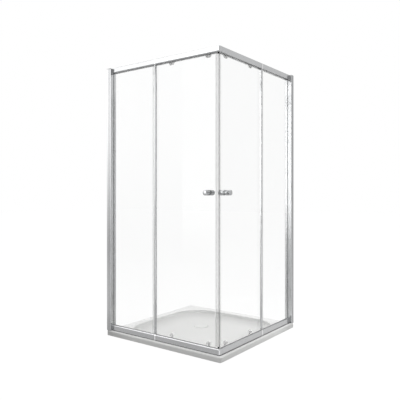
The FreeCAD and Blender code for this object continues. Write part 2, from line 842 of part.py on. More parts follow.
def make_edge_profile():
    """Channel on the door's leading edge, with a groove for the magnet strip's key."""
    front = door_front - dims.edge_slot_gap - dims.edge_wall
    back = door_back + dims.edge_slot_gap + dims.edge_wall
    lead = side_length - back - dims.meet_gap
    start = side_length - dims.edge_back
    slot_end = door_lead + dims.edge_slot_gap
    slot_low = door_front - dims.edge_slot_gap
    slot_high = door_back + dims.edge_slot_gap
    key_low = key_middle() - dims.magnet_key_width / 2
    key_high = key_middle() + dims.magnet_key_width / 2
    key_end = lead - dims.magnet_key_depth
    outline = [(start, front), (lead, front), (lead, key_low), (key_end, key_low), (key_end, key_high),
               (lead, key_high), (lead, back), (start, back), (start, slot_high), (slot_end, slot_high),
               (slot_end, slot_low), (start, slot_low)]
    return upright(outline, dims.rail_height + dims.door_end_gap, upper_rail_bottom - dims.door_end_gap)


def key_middle():
    """Depth of the magnet strip's key: the middle of the door's glass."""
    return (door_front + door_back) / 2


def make_magnet_strip():
    """Magnetic edge strip whose slanted face meets the other door's strip on the diagonal."""
    front = door_front - dims.edge_slot_gap - dims.edge_wall
    back = door_back + dims.edge_slot_gap + dims.edge_wall
    lead = side_length - back - dims.meet_gap
    tip = side_length - front - dims.meet_gap
    gap = dims.magnet_key_gap
    key_low = key_middle() - dims.magnet_key_width / 2 + gap
    key_high = key_middle() + dims.magnet_key_width / 2 - gap
    key_end = lead - dims.magnet_key_depth + gap
    outline = [(lead, front), (tip, front), (lead, back), (lead, key_high), (key_end, key_high),
               (key_end, key_low), (lead, key_low)]
    return upright(outline, dims.rail_height + dims.door_end_gap, upper_rail_bottom - dims.door_end_gap)


def make_rear_seal():
    """Soft channel on the door's rear edge with a lip towards the fixed pane."""
    wall, gap = dims.seal_wall, dims.clip_gap
    edge = door_rear
    start = edge - dims.seal_web
    end = edge + dims.seal_cover
    front = door_front - gap - wall
    back = door_back + gap + wall
    tip = door_front - dims.seal_lip_reach
    outline = [(start, tip), (start + wall, tip), (start + wall, front), (end, front), (end, front + wall),
               (edge - gap, front + wall), (edge - gap, back - wall), (end, back - wall), (end, back),
               (start, back)]
    return upright(outline, dims.rail_height + dims.door_end_gap, upper_rail_bottom - dims.door_end_gap)


def make_knob(outer):
    """Round knob with a neck at the glass and a blind hole for the through bolt."""
    way = -1 if outer else 1
    face = door_front - dims.knob_washer_thickness if outer else door_back + dims.knob_washer_thickness
    bore = dims.knob_bolt_radius + dims.knob_bolt_gap
    bore_end = dims.knob_bolt_grip + dims.knob_bolt_gap * 10
    outline = [(bore, 0), (dims.knob_neck_radius, 0), (dims.knob_neck_radius, dims.knob_neck_length),
               (dims.knob_radius, dims.knob_neck_length), (dims.knob_radius, dims.knob_length),
               (0, dims.knob_length), (0, bore_end), (bore, bore_end)]
    knob = turned([(radius, as_size(axis) * way) for radius, axis in outline], along_knob, face,
                  dims.knob_height)
    round_edges(knob, dims.knob_round, edge_through((dims.knob_radius, dims.knob_length * way, 0)))
    return knob


def make_knob_bolt():
    """Threaded bar through the glass that draws the two knobs together."""
    grip = dims.knob_washer_thickness + dims.knob_bolt_grip
    return rod(dims.knob_bolt_radius, along_knob, (door_front - grip, door_back + grip), dims.knob_height)


def make_knob_washers():
    """Soft washers between the knobs and the glass."""
    inner = dims.knob_bolt_radius + dims.knob_bolt_gap
    thick = dims.knob_washer_thickness
    outline = [(inner, 0), (dims.knob_neck_radius, 0), (dims.knob_neck_radius, thick), (inner, thick)]
    return gather(turned(outline, along_knob, door_front - thick, dims.knob_height),
                  turned(outline, along_knob, door_back, dims.knob_height))


# Upper rollers

def make_upper_bracket(along):
    """Plate on the inside of the glass, round below, that reaches up into the rail to the axle."""
    half = dims.bracket_width / 2
    low = upper_rail_bottom - dims.bracket_drop
    high = upper_axle + dims.bracket_top
    tall = high - low
    front, back = door_back, door_back + dims.bracket_thickness
    body = plate([(-half, 0), (half, 0), (half, tall), (-half, tall)], front, back, along, low)
    middle = dims.bracket_thickness / 2
    round_edges(body, dims.bracket_round, edge_through((-half, middle, 0), (half, middle, 0)))
    axle_hole = rod(dims.axle_radius + dims.clamp_fit_gap, along, (front - 1, back + 1), upper_axle)
    stud_hole = dims.clamp_stud_radius + dims.clamp_fit_gap
    clamp_hole = rod(stud_hole, along, (front - 1, back + 1), clamp_height())
    return cut(body, axle_hole, clamp_hole)


def make_upper_axle(along):
    """Shoulder screw that carries an upper wheel, with a head that keeps it on."""
    start = door_back + dims.bracket_thickness - dims.axle_grip
    neck = axle_head_front - start
    head = axle_head_back - start
    outline = [(0, 0), (dims.axle_radius, 0), (dims.axle_radius, neck), (dims.axle_head_radius, neck),
               (dims.axle_head_radius, head), (0, head)]
    return turned(outline, along, start, upper_axle)


def make_wheel(along, up):
    """Grooved wheel that straddles the track."""
    bore = dims.axle_radius + dims.axle_running_gap
    wide = dims.wheel_width
    groove_low = (wide - dims.groove_width) / 2
    groove_high = (wide + dims.groove_width) / 2
    outline = [(bore, 0), (wheel_radius, 0), (wheel_radius, groove_low), (dims.groove_radius, groove_low),
               (dims.groove_radius, groove_high), (wheel_radius, groove_high), (wheel_radius, wide),
               (bore, wide)]
    return turned(outline, along, wheel_front, up)


def make_upper_clamp(along):
    """Round plate on the outside of the glass with a stud into the bracket."""
    stud = door_back + dims.clamp_grip - door_front
    thick = dims.clamp_thickness
    outline = [(0, -thick), (dims.clamp_radius, -thick), (dims.clamp_radius, 0), (dims.clamp_stud_radius, 0),
               (dims.clamp_stud_radius, stud), (0, stud)]
    return turned(outline, along, door_front, clamp_height())


# Lower rollers

def make_lower_guide(along):
    """Block on the inside of the glass that guides the release slider and holds its spring."""
    half = dims.guide_width / 2
    back = door_back + dims.guide_depth
    block = box((along - half, along + half), (door_back, back), (guide_bottom, guide_top))
    bore_radius = dims.stem_radius + dims.stem_gap
    bore = upright_rod(bore_radius, along, stem_middle, (guide_bottom - 1, guide_top + 1))
    pocket_radius = spring_outer() + dims.spring_gap
    pocket = upright_rod(pocket_radius, along, stem_middle,
                         (guide_bottom - 1, guide_bottom + dims.spring_pocket_depth))
    drills = [bore, pocket]
    for offset in (-dims.guide_stud_place, dims.guide_stud_place):
        radius = dims.guide_stud_radius + dims.clamp_fit_gap
        drills.append(rod(radius, along + offset, (door_back - 1, door_back + dims.guide_stud_grip),
                          guide_middle()))
    return cut(block, *drills)


def spring_outer():
    return dims.stem_radius + dims.spring_gap + dims.spring_wall


def make_release_spring(along):
    """Space taken by the coil spring between the slider's shoulder and the guide."""
    length = (shoulder_top, guide_bottom + dims.spring_pocket_depth)
    outer = upright_rod(spring_outer(), along, stem_middle, length)
    inner = upright_rod(dims.stem_radius + dims.spring_gap, along, stem_middle, length)
    return cut(outer, inner)


def make_lower_clamp(along):
    """Plate on the outside of the glass with two studs into the guide."""
    half = dims.guide_width / 2 - dims.guide_plate_margin
    margin = dims.guide_plate_margin
    pad = box((along - half, along + half), (door_front - dims.clamp_thickness, door_front),
              (guide_bottom + margin, guide_top - margin))
    studs = []
    for offset in (-dims.guide_stud_place, dims.guide_stud_place):
        studs.append(rod(dims.guide_stud_radius, along + offset,
                         (door_front, door_back + dims.guide_stud_grip - dims.clamp_fit_gap), guide_middle()))
    return join(pad, *studs)


def make_release_slider(along):
    """Sprung slider: plate with the lower wheel's axle, shoulder, stem and the button on top."""
    half = dims.slider_width / 2
    plate_back = wheel_front - dims.wheel_play
    plate_front = plate_back - dims.slider_plate
    foot = box((along - half, along + half), (plate_front, plate_back),
               (lower_axle - dims.slider_foot, shoulder_bottom))
    shoulder = box((along - half, along + half), (plate_front, plate_front + dims.shoulder_depth),
                   (shoulder_bottom, shoulder_top))
    axle = rod(dims.axle_radius, along, (plate_back, axle_head_back), lower_axle)
    head = rod(dims.axle_head_radius, along, (axle_head_front, axle_head_back), lower_axle)
    stem = upright_rod(dims.stem_radius, along, stem_middle, (shoulder_top, button_bottom))
    button_half = dims.button_width / 2
    button = box((along - button_half, along + button_half),
                 (stem_middle - dims.button_depth / 2, stem_middle + dims.button_depth / 2),
                 (button_bottom, button_bottom + dims.button_height))
    return join(foot, shoulder, axle, head, stem, button)


# Assembly

def make_frame():
    """Everything that stands still."""
    ledge = make_tray()
    make_drain_cover(ledge)
    keep_pair("wall_profile", make_wall_profile())
    keep_pair("jamb", make_jamb())
    keep_pair("fixed_glass", make_fixed_glass())
    keep_pair("post", make_post())
    keep_pair("top_rail", make_top_rail())
    keep_pair("bottom_rail", make_bottom_rail())
    keep("top_corner_connector", make_corner_connector(upper_rail_bottom, True))
    keep("bottom_corner_connector", make_corner_connector(as_size(0), False))
    plug_end = dims.jamb_face + dims.tongue_length
    both_sides = {
        "jamb_gaskets": [make_jamb_gasket()],
        "profile_caps": [make_profile_cap()],
        "adjuster_screws": make_adjuster_screws(),
        "rail_end_plugs": [nose_plug(dims.jamb_face, plug_end, upper_rail_bottom, True),
                           nose_plug(dims.jamb_face, plug_end, as_size(0), False)],
        "rail_clips": [make_rail_clip(upper_rail_bottom, True), make_rail_clip(as_size(0), False)],
        "door_stops": [make_door_stop()],
    }
    for label, pieces in both_sides.items():
        keep(label, gather(*pieces, *[mirrored(piece) for piece in pieces]))


def make_doors():
    """The two sliding doors with their wheels and release sliders."""
    keep_pair("door_glass", make_door_glass())
    keep_pair("door_edge_profile", make_edge_profile())
    keep_pair("magnet_strip", make_magnet_strip())
    keep_pair("rear_seal", make_rear_seal())
    keep_pair("outer_knob", make_knob(True))
    keep_pair("inner_knob", make_knob(False))
    keep_pair("knob_bolt", make_knob_bolt())
    keep_pair("knob_washers", make_knob_washers())
    places = along_rollers.values()
    keep_pair("upper_brackets", gather(*[make_upper_bracket(along) for along in places]))
    keep_pair("upper_axles", gather(*[make_upper_axle(along) for along in places]))
    keep_pair("lower_guides", gather(*[make_lower_guide(along) for along in places]))
    keep_pair("release_springs", gather(*[make_release_spring(along) for along in places]))
    clamps = [make_upper_clamp(along) for along in places] + [make_lower_clamp(along) for along in places]
    keep_pair("clamp_plates", gather(*clamps))
    for end, along in along_rollers.items():
        keep_pair(f"upper_wheel_{end}", make_wheel(along, upper_axle))
        keep_pair(f"lower_wheel_{end}", make_wheel(along, lower_axle))
        keep_pair(f"release_slider_{end}", make_release_slider(along))


def check_objects():
    """Stop if any object failed to build or any sub-part's shape is empty or broken."""
    for thing in doc.Objects:
        if "Invalid" in thing.State or "Error" in thing.State:
            raise RuntimeError(f"{thing.Label} failed: {thing.State}")
    for node in nodes:
        if node.Shape.isNull() or not node.Shape.isValid() or not node.Shape.Solids:
            raise RuntimeError(f"{node.Label} has no sound solid")


def write_parts():
    os.makedirs("parts", exist_ok=True)
    for node in nodes:
        node.Shape.exportStep(f"parts/{node.Label}.step")


make_sheet()
make_frame()
make_doors()
doc.recompute()
check_objects()
write_parts()
print(len(nodes), "sub-parts,", sum(len(node.Shape.Solids) for node in nodes), "solids")
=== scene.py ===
import math

import bmesh
import bpy
from mathutils import Euler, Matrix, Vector


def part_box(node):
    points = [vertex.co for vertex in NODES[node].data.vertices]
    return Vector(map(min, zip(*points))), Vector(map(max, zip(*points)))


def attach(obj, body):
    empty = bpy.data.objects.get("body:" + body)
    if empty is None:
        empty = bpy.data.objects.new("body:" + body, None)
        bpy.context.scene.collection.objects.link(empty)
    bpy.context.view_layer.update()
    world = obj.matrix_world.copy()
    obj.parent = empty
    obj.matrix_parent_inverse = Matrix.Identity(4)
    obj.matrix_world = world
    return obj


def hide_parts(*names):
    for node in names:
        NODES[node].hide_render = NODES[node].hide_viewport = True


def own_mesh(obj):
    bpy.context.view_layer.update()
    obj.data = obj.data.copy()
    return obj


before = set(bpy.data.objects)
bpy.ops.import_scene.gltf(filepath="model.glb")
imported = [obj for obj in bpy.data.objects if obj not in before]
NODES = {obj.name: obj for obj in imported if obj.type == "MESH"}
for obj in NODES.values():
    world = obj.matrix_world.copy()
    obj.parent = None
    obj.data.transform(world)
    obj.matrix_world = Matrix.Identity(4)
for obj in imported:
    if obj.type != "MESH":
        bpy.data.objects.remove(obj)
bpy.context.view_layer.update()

bl_info = {
    "name": "Corner Shower Enclosure",
    "version": (1, 0, 0),
    "blender": (4, 5, 0),
    "location": "3D View > Sidebar > Enclosure",
    "description": "Finishes a corner-entry shower enclosure and sets up its studio",
    "category": "Object",
}

UP = Vector((0, 0, 1))
# Each side of the enclosure runs along its rail from the wall to the corner, and its depth
# points from the rail's face into the cabin.
SIDES = {
    "left": (Vector((1, 0, 0)), Vector((0, 1, 0))),
    "right": (Vector((0, -1, 0)), Vector((-1, 0, 0))),
}
ENDS = ("front", "rear")


# Settings

SHARE = {"subtype": "FACTOR", "min": 0, "max": 1}


def a_number(name, description, default, **kind):
    """Number with its unit, subtype or limits, if it has them."""
    return bpy.props.FloatProperty(name=name, description=description, default=default, **kind)


def a_length(name, description, default):
    """Length in metres."""
    return a_number(name, description, default, unit="LENGTH")


def a_colour(name, description, default):
    """Colour of a finish."""
    return bpy.props.FloatVectorProperty(
        name=name, description=description, default=default, subtype="COLOR", min=0, max=1)


class EnclosureFinish(bpy.types.PropertyGroup):
    """Colours and gloss of the enclosure's finishes."""

    aluminium: a_colour("Aluminium", "Polished profiles and rails", (0.472, 0.476, 0.482))
    # The rails' insides have a matt finish; their pale colour is painted light that lifts the shade in
    # the channels.
    inside: a_colour("Rail insides", "Pale matt insides of the rails", (0.90, 0.90, 0.905))
    aluminium_roughness: a_number(
        "Aluminium roughness", "Mean roughness of the polished profiles", 0.2, **SHARE)
    chrome: a_colour("Chrome", "Chromed knobs", (0.38, 0.385, 0.39))
    glass: a_colour("Glass", "Tint of the clear panes", (0.958, 0.961, 0.960))
    tray: a_colour("Tray", "White gloss of the tray", (0.93, 0.93, 0.925))
    # The basin floor's darker colour is painted shade inside the cabin; its duller gloss is its own
    # finish.
    tray_floor_painted_shade: a_colour("Tray floor", "Duller, non-slip floor of the tray's basin", (0.83, 0.83, 0.82))
    seal: a_colour("Seals", "Clear soft seals, gaskets and washers", (0.80, 0.82, 0.82))
    magnet: a_colour("Magnet strips", "Strips on which the doors meet", (0.38, 0.385, 0.39))
    edging: a_colour("Door edgings", "Clear profiles on the doors' leading edges", (0.90, 0.91, 0.91))
    bead: a_colour("Top beads", "Grey rubber of the top rails' glazing beads", (0.40, 0.40, 0.405))
    low_bead: a_colour(
        "Bottom beads", "Dark rubber of the bottom rails' glazing beads", (0.14, 0.14, 0.142))
    # The edging lips are soft lips, and their grey is painted shade along the step where the clear
    # edging ends on the glass.
    lip_painted_shade: a_colour("Edging lips", "Soft lips of the door edgings on the glass", (0.36, 0.37, 0.375))
    bracket: a_colour("Brackets", "Light grey mouldings of the rollers", (0.84, 0.84, 0.84))
    wheel: a_colour("Wheels", "White wheels of the rollers", (0.84, 0.84, 0.83))
    button: a_colour(
        "Buttons", "Dark stems of the release sliders and black end caps", (0.022, 0.022, 0.023))
    rubber: a_colour(
        "Rubber", "Dark joint at the foot of the bottom rails and door stops", (0.035, 0.035, 0.036))
    cap: a_colour("Caps", "Grey caps of the wall profiles and plugs of the rails", (0.50, 0.503, 0.508))
    clip: a_colour(
        "Rail clips", "Bright rail clips, adjuster screws and roller axles", (0.90, 0.90, 0.90))
    steel: a_colour("Steel", "Knob bolts and release springs", (0.62, 0.62, 0.63))


class EnclosureDetail(bpy.types.PropertyGroup):
    """Sizes of the small things that the finish adds."""

    metal_edge: a_length("Metal edge", "Soft edge of the metal profiles", 0.0005)
    moulded_edge: a_length("Moulded edge", "Soft edge of the mouldings", 0.0008)
    cover_edge: a_length("Cover edge", "Soft edge of the drain cover", 0.0006)
    turned_edge: a_length("Turned edge", "Soft edge of wheels, axles and screws", 0.0003)
    clip_edge: a_length("Clip edge", "Soft edge of the rail clips", 0.0002)
    nose_gap: a_length(
        "Nose gap", "Gap between the rails' pale insides and the fixed glass's face", 0.001)
    rail_skin: a_length(
        "Rail skin", "Depth of the rails' polished skin at the back and the top", 0.0006)
    stem_reach: a_length("Stem reach", "Reach of the sliders' dark stems under their guides", 0.006)
    bead_height: a_length("Bead height", "Height of the glazing beads on the rails", 0.0022)
    bead_depth: a_length("Bead depth", "Depth of the glazing beads in front of the glass", 0.0026)
    joint_height: a_length(
        "Joint height", "Height of the dark joint at the foot of the bottom rails", 0.0045)
    joint_depth: a_length("Joint depth", "Depth of the dark joint behind the rails' faces", 0.0019)
    joint_proud: a_length("Joint proud", "Reach of the dark joint in front of the rails' faces", 0.0015)
    corner_round: a_length("Corner round", "Radius of the rails' corner that the joint follows", 0.008)
    lip_reach: a_length("Lip reach", "Reach of an edging's soft lips along the glass", 0.002)
    lip_thickness: a_length("Lip thickness", "Thickness of an edging's soft lips", 0.0016)
    hollow_half: a_length("Basin half", "Half the width of the tray's basin", 0.434)
    cap_height: a_length("End cap height", "Height of the black caps on the door edges", 0.005)
    cap_width: a_length("End cap width", "Width of the black caps on the door edges", 0.005)
    cap_shell: a_length(
        "End cap shell", "Thickness by which the black caps wrap the magnet strips", 0.0006)
    knob_neck: a_length("Knob neck", "Radius of the knobs' necks at the glass", 0.014)
    knob_neck_length: a_length("Neck length", "Length of the knobs' necks", 0.003)
    knob_round: a_length("Knob round", "Radius of the round edge of the knobs' faces", 0.004)
    knob_dome: a_length("Knob dome", "Height of the dome of the knobs' faces", 0.0015)
    spring_turns: bpy.props.IntProperty(
        name="Spring turns", description="Working turns of a release spring", min=2, default=7)
    spring_wire: a_length("Spring wire", "Wire radius of a release spring", 0.0004)


class EnclosureStage(bpy.types.PropertyGroup):
    """Camera and light of the studio."""

    camera_place: bpy.props.FloatVectorProperty(
        name="Camera", description="Place of the camera", subtype="TRANSLATION", unit="LENGTH",
        default=(2.1695, -2.9545, 1.0355))
    camera_heading: a_number(
        "Heading", "Turn of the level camera about the vertical", math.radians(36.63), subtype="ANGLE")
    camera_lens: a_number("Lens", "Focal length in millimetres on a 36 mm sensor", 44.04)
    camera_rise: a_number("Rise", "Vertical shift of the lens as a share of the frame", -0.0185)
    room_light: a_number("Room light", "Level of the even light that the room gives", 0.47)
    top_light: a_number("Top light", "Power of the large lamp overhead", 76.0, unit="POWER")
    low_light: a_number("Low light", "Power of the small lamp low on the right", 6.0, unit="POWER")
    screen_tone: a_number("Screen tone", "Level of the bright screen that the left faces mirror", 2.25)
    low_tone: a_number(
        "Low tone", "Level of the near floor and the screens' feet that the left faces mirror", 0.8)
    bright_tone: a_number("Bright tone", "Level of the screen that the right jamb mirrors", 3.1)
    far_tone: a_number("Far tone", "Level of the floor further off that the left uprights mirror", 1.0)
    corner_tone: a_number("Corner tone", "Level of the floor that the lower corner mirrors", 1.7)
    back_tone: a_number("Back tone", "Level of the screen that the left jamb mirrors", 1.35)
    front_tone: a_number("Front tone", "Level of the screen behind the camera", 0.85)
    dim_tone: a_number("Dim tone", "Level of the card that the top rail's round edge mirrors", 0.45)
    dark_tone: a_number(
        "Dark tone", "Level of the card that the top edge of the left rail mirrors", 0.04)
    card_tone: a_number("Card tone", "Level of the dark cards that the metal mirrors", 0.2)
    floor_shade: a_number("Floor shade", "Share of the floor's look that takes shadows", 0.15, **SHARE)


# Shader building

# Places of the colours among a Mix node's sockets.
MIX_UNDER, MIX_OVER, MIX_RESULT = 6, 7, 2
# Roughness of the polished aluminium at its smooth and rough streaks, as shares of the mean.
STREAK_ROUGHNESS = (0.8, 1.25)
# Roughness and metalness of the rails' matt insides; the low metalness, with their pale colour, paints
# light into the channels.
INSIDE_ROUGHNESS, INSIDE_METAL = 0.6, 0.2
FINE_GRAIN = 2500.0
CLEAR_GLASS = {"Transmission Weight": 1.0, "IOR": 1.2, "Specular IOR Level": 0.06}
# Power of the bend in which the basin's painted shade follows its two far walls, and its share at each.
BASIN_BEND = 4.0
BASIN_WALLS = (("X", -0.9), ("Y", 1.0))
# Painted shade: share of the floor colour at the far walls, and the reach over which it deepens.
BASIN_SHADE, BASIN_SHADE_RUN = 0.74, (0.45, 1.02)
# Depths under the tray's rim between which its floor's dull finish goes over to gloss.
RIM_RUN = (0.004, 0.0005)
FLOOR_ROUGHNESS, RIM_ROUGHNESS, SMEAR_ROUGHNESS = 0.45, 0.2, 0.1
STEM_HEAD_SOLID = 0.3


def feed(tree, node, inputs):
    """Set a node's inputs, or link them where they change over the surface."""
    for name, value in inputs.items():
        if isinstance(value, bpy.types.NodeSocket):
            tree.links.new(value, node.inputs[name])
        else:
            node.inputs[name].default_value = value


def add_node(tree, kind, inputs=None, **settings):
    """Add a node to a tree with its options and inputs."""
    node = tree.nodes.new(kind)
    for name, value in settings.items():
        setattr(node, name, value)
    feed(tree, node, inputs or {})
    return node


def reckon(tree, operation, first, second, **settings):
    """Two values worked into one."""
    return add_node(tree, "ShaderNodeMath", {0: first, 1: second}, operation=operation,
                    **settings).outputs["Value"]


def spread_range(tree, value, taken=(0.0, 1.0), given=(0.0, 1.0), **settings):
    """A value's run between two taken levels, spread between two given ones."""
    return add_node(tree, "ShaderNodeMapRange", {
        "Value": value, "From Min": taken[0], "From Max": taken[1],
        "To Min": given[0], "To Max": given[1]}, **settings).outputs["Result"]


def between(tree, value, low, high):
    """The value's run from 0 to 1 spread from low to high."""
    return spread_range(tree, value, given=(low, high))


def past(tree, value, start, blur=0.0002):
    """Mask that goes from 0 to 1 where a value passes a start."""
    return spread_range(tree, value, taken=(start - blur, start + blur))


def object_place(tree):
    """Place on the object, in metres."""
    return add_node(tree, "ShaderNodeTexCoord").outputs["Object"]


def object_axes(tree):
    """Place on the object along X, Y and Z."""
    return add_node(tree, "ShaderNodeSeparateXYZ", {"Vector": object_place(tree)}).outputs


def object_reach(tree, direction):
    """Place on the object along a direction."""
    return add_node(tree, "ShaderNodeVectorMath", {0: object_place(tree), 1: tuple(direction)},
                    operation="DOT_PRODUCT").outputs["Value"]


def noise(tree, place, **inputs):
    """Noise over a place, from 0 to 1."""
    inputs = {name.capitalize(): value for name, value in inputs.items()}
    return add_node(tree, "ShaderNodeTexNoise", {"Vector": place, **inputs}).outputs["Fac"]


def mix_colours(tree, mask, under, over):
    """One colour where a mask is 0 and another where it is 1."""
    return add_node(tree, "ShaderNodeMix", {"Factor": mask, MIX_UNDER: under, MIX_OVER: over},
                    data_type="RGBA").outputs[MIX_RESULT]


def show_either(tree, mask, under, over):
    """Show one shader where a mask is 0 and another where it is 1."""
    either = add_node(tree, "ShaderNodeMixShader", {"Fac": mask, 1: under, 2: over})
    tree.links.new(either.outputs["Shader"], tree.nodes["Material Output"].inputs["Surface"])


def shared_group(name, inputs, outputs, fill):
    """The shader group of a name, built by fill on its first use."""
    if name not in bpy.data.node_groups:
        tree = bpy.data.node_groups.new(name, "ShaderNodeTree")
        for label, kind, default in inputs:
            socket = tree.interface.new_socket(label, in_out="INPUT", socket_type=kind)
            socket.default_value = default
        for label in outputs:
            tree.interface.new_socket(label, in_out="OUTPUT", socket_type="NodeSocketFloat")
        given, result = tree.nodes.new("NodeGroupInput"), tree.nodes.new("NodeGroupOutput")
        feed(tree, result, dict(zip(outputs, fill(tree, given.outputs))))
    return bpy.data.node_groups[name]


def drawn_streaks():
    """Fine lines that extrusion and polishing leave along a profile."""
    def fill(tree, given):
        place = object_place(tree)
        pulled = add_node(tree, "ShaderNodeVectorMath", {0: place, 1: given["Stretch"]},
                          operation="MULTIPLY").outputs["Vector"]
        lines = noise(tree, pulled, scale=given["Scale"], detail=5.0, roughness=0.65)
        return [spread_range(tree, lines, taken=(0.3, 0.7)), noise(tree, place, scale=7.0, detail=3.0)]

    inputs = [("Stretch", "NodeSocketVector", (1, 1, 1)), ("Scale", "NodeSocketFloat", 900.0)]
    return shared_group("Drawn streaks", inputs, ["Streaks", "Cloud"], fill)


def wiped_marks():
    """Faint smears on wiped gloss."""
    def fill(tree, given):
        smear = noise(tree, object_place(tree), scale=given["Scale"], detail=4.0, distortion=0.6)
        return [spread_range(tree, smear, taken=(0.42, 0.75))]

    return shared_group("Wiped marks", [("Scale", "NodeSocketFloat", 14.0)], ["Smears"], fill)


def moulded_grain():
    """Fine texture of moulded plastic and rubber, with a slow change of tone."""
    def fill(tree, given):
        place = object_place(tree)
        return [noise(tree, place, scale=given["Scale"], detail=2.0, roughness=0.5),
                noise(tree, place, scale=45.0, detail=3.0)]

    inputs = [("Scale", "NodeSocketFloat", FINE_GRAIN)]
    return shared_group("Moulded grain", inputs, ["Grain", "Tone"], fill)


def use_group(tree, group, **values):
    """Place a shader group in a material with its own values."""
    inputs = {name.capitalize(): value for name, value in values.items()}
    return add_node(tree, "ShaderNodeGroup", inputs, node_tree=group).outputs


def new_material(name):
    """A fresh material; returns it, its tree and its Principled shader."""
    material = bpy.data.materials.new(name)
    material.use_nodes = True
    tree = material.node_tree
    return material, tree, tree.nodes["Principled BSDF"]


def tinted(tree, colour, mask, spread):
    """A colour that a mask takes a little darker and lighter."""
    darker = tuple(channel * (1 - spread) for channel in colour) + (1,)
    lighter = tuple(min(1.0, channel * (1 + spread)) for channel in colour) + (1,)
    return mix_colours(tree, mask, darker, lighter)


def bumped(tree, shader, height, strength, distance):
    """Feed a height through a bump to the shader's normal."""
    bump = add_node(tree, "ShaderNodeBump", {
        "Height": height, "Strength": strength, "Distance": distance})
    feed(tree, shader, {"Normal": bump.outputs["Normal"]})


def aluminium(name, finish, stretch, inside=None):
    """Polished aluminium with streaks along one direction.

    A rail also has a matt inside, which lies between a nose and a back along its inward
    direction and under a top; its pale colour is painted light that lifts the shade there.
    """
    material, tree, shader = new_material(name)
    marks = use_group(tree, drawn_streaks(), stretch=stretch)
    metal = 1.0
    colour = tinted(tree, finish.aluminium, marks["Cloud"], spread=0.05)
    low, high = (finish.aluminium_roughness * share for share in STREAK_ROUGHNESS)
    rough = between(tree, marks["Streaks"], low, high)
    if inside:
        inward, nose, back, top = inside
        depth = object_reach(tree, inward)
        hollow = reckon(tree, "SUBTRACT", past(tree, depth, nose), past(tree, depth, back))
        covered = between(tree, past(tree, object_axes(tree)["Z"], top), 1.0, 0.0)
        matt = reckon(tree, "MULTIPLY", hollow, covered)
        rough = reckon(tree, "MAXIMUM", rough, between(tree, matt, 0.0, INSIDE_ROUGHNESS))
        metal = between(tree, matt, 1.0, INSIDE_METAL)
        # Pale colour of the matt inside: painted light against the shade in the channels.
        pale = tinted(tree, finish.inside, marks["Cloud"], spread=0.05)
        colour = mix_colours(tree, matt, colour, pale)
    feed(tree, shader, {"Base Color": colour, "Roughness": rough, "Metallic": metal})
    bumped(tree, shader, marks["Streaks"], strength=0.01, distance=0.0001)
    return material


def bright_metal(name, colour, rough):
    """Chrome or steel with a wiped gloss between two roughnesses."""
    material, tree, shader = new_material(name)
    marks = use_group(tree, wiped_marks(), scale=35.0)
    feed(tree, shader, {
        "Metallic": 1.0,
        "Base Color": tinted(tree, colour, marks["Smears"], spread=0.03),
        "Roughness": between(tree, marks["Smears"], *rough)})
    return material


def clear_glass(name, tint, slant, wrap_start):
    """Clear toughened glass that passes the lamps' light and vanishes where the edging wraps it."""
    material, tree, shader = new_material(name)
    marks = use_group(tree, wiped_marks(), scale=5.0)
    wrapped = past(tree, object_reach(tree, slant), wrap_start)
    feed(tree, shader, {
        **CLEAR_GLASS,
        "Base Color": tinted(tree, tint, marks["Smears"], spread=0.004),
        "Roughness": between(tree, marks["Smears"], 0.0, 0.012),
        "Alpha": between(tree, wrapped, 1.0, 0.0)})
    shadow_ray = add_node(tree, "ShaderNodeLightPath").outputs["Is Shadow Ray"]
    open_way = add_node(tree, "ShaderNodeBsdfTransparent", {"Color": (*tint, 1)})
    show_either(tree, shadow_ray, shader.outputs["BSDF"], open_way.outputs["BSDF"])
    return material


def gloss_white(name, colour, floor_colour, rim_height, hollow):
    """White cast gloss with wiped marks and a duller floor, whose darker colour is painted shade that
    deepens towards the basin's far walls.
    """
    material, tree, shader = new_material(name)
    marks = use_group(tree, wiped_marks(), scale=9.0)
    grain = use_group(tree, moulded_grain(), scale=180.0)
    place = object_axes(tree)
    # Painted shade of the basin's far walls, from the floor's reach towards them.
    reach = []
    for axis, way in BASIN_WALLS:
        share = reckon(tree, "MULTIPLY", place[axis], way / hollow)
        reach.append(reckon(tree, "POWER", reckon(tree, "MAXIMUM", share, 0.0), BASIN_BEND))
    edge = reckon(tree, "POWER", reckon(tree, "ADD", *reach), 1 / BASIN_BEND)
    shade = spread_range(tree, edge, taken=BASIN_SHADE_RUN, interpolation_type="SMOOTHSTEP")
    shaded = (*(channel * BASIN_SHADE for channel in floor_colour), 1)
    floor = mix_colours(tree, shade, tinted(tree, floor_colour, grain["Tone"], spread=0.015), shaded)
    rim = spread_range(tree, place["Z"], taken=[rim_height - depth for depth in RIM_RUN])
    smear = between(tree, marks["Smears"], 0.0, SMEAR_ROUGHNESS)
    feed(tree, shader, {
        "Base Color": mix_colours(tree, rim, floor, tinted(tree, colour, grain["Tone"], spread=0.008)),
        "Roughness": reckon(tree, "ADD", smear, between(tree, rim, FLOOR_ROUGHNESS, RIM_ROUGHNESS))})
    bumped(tree, shader, grain["Grain"], strength=0.05, distance=0.0004)
    return material


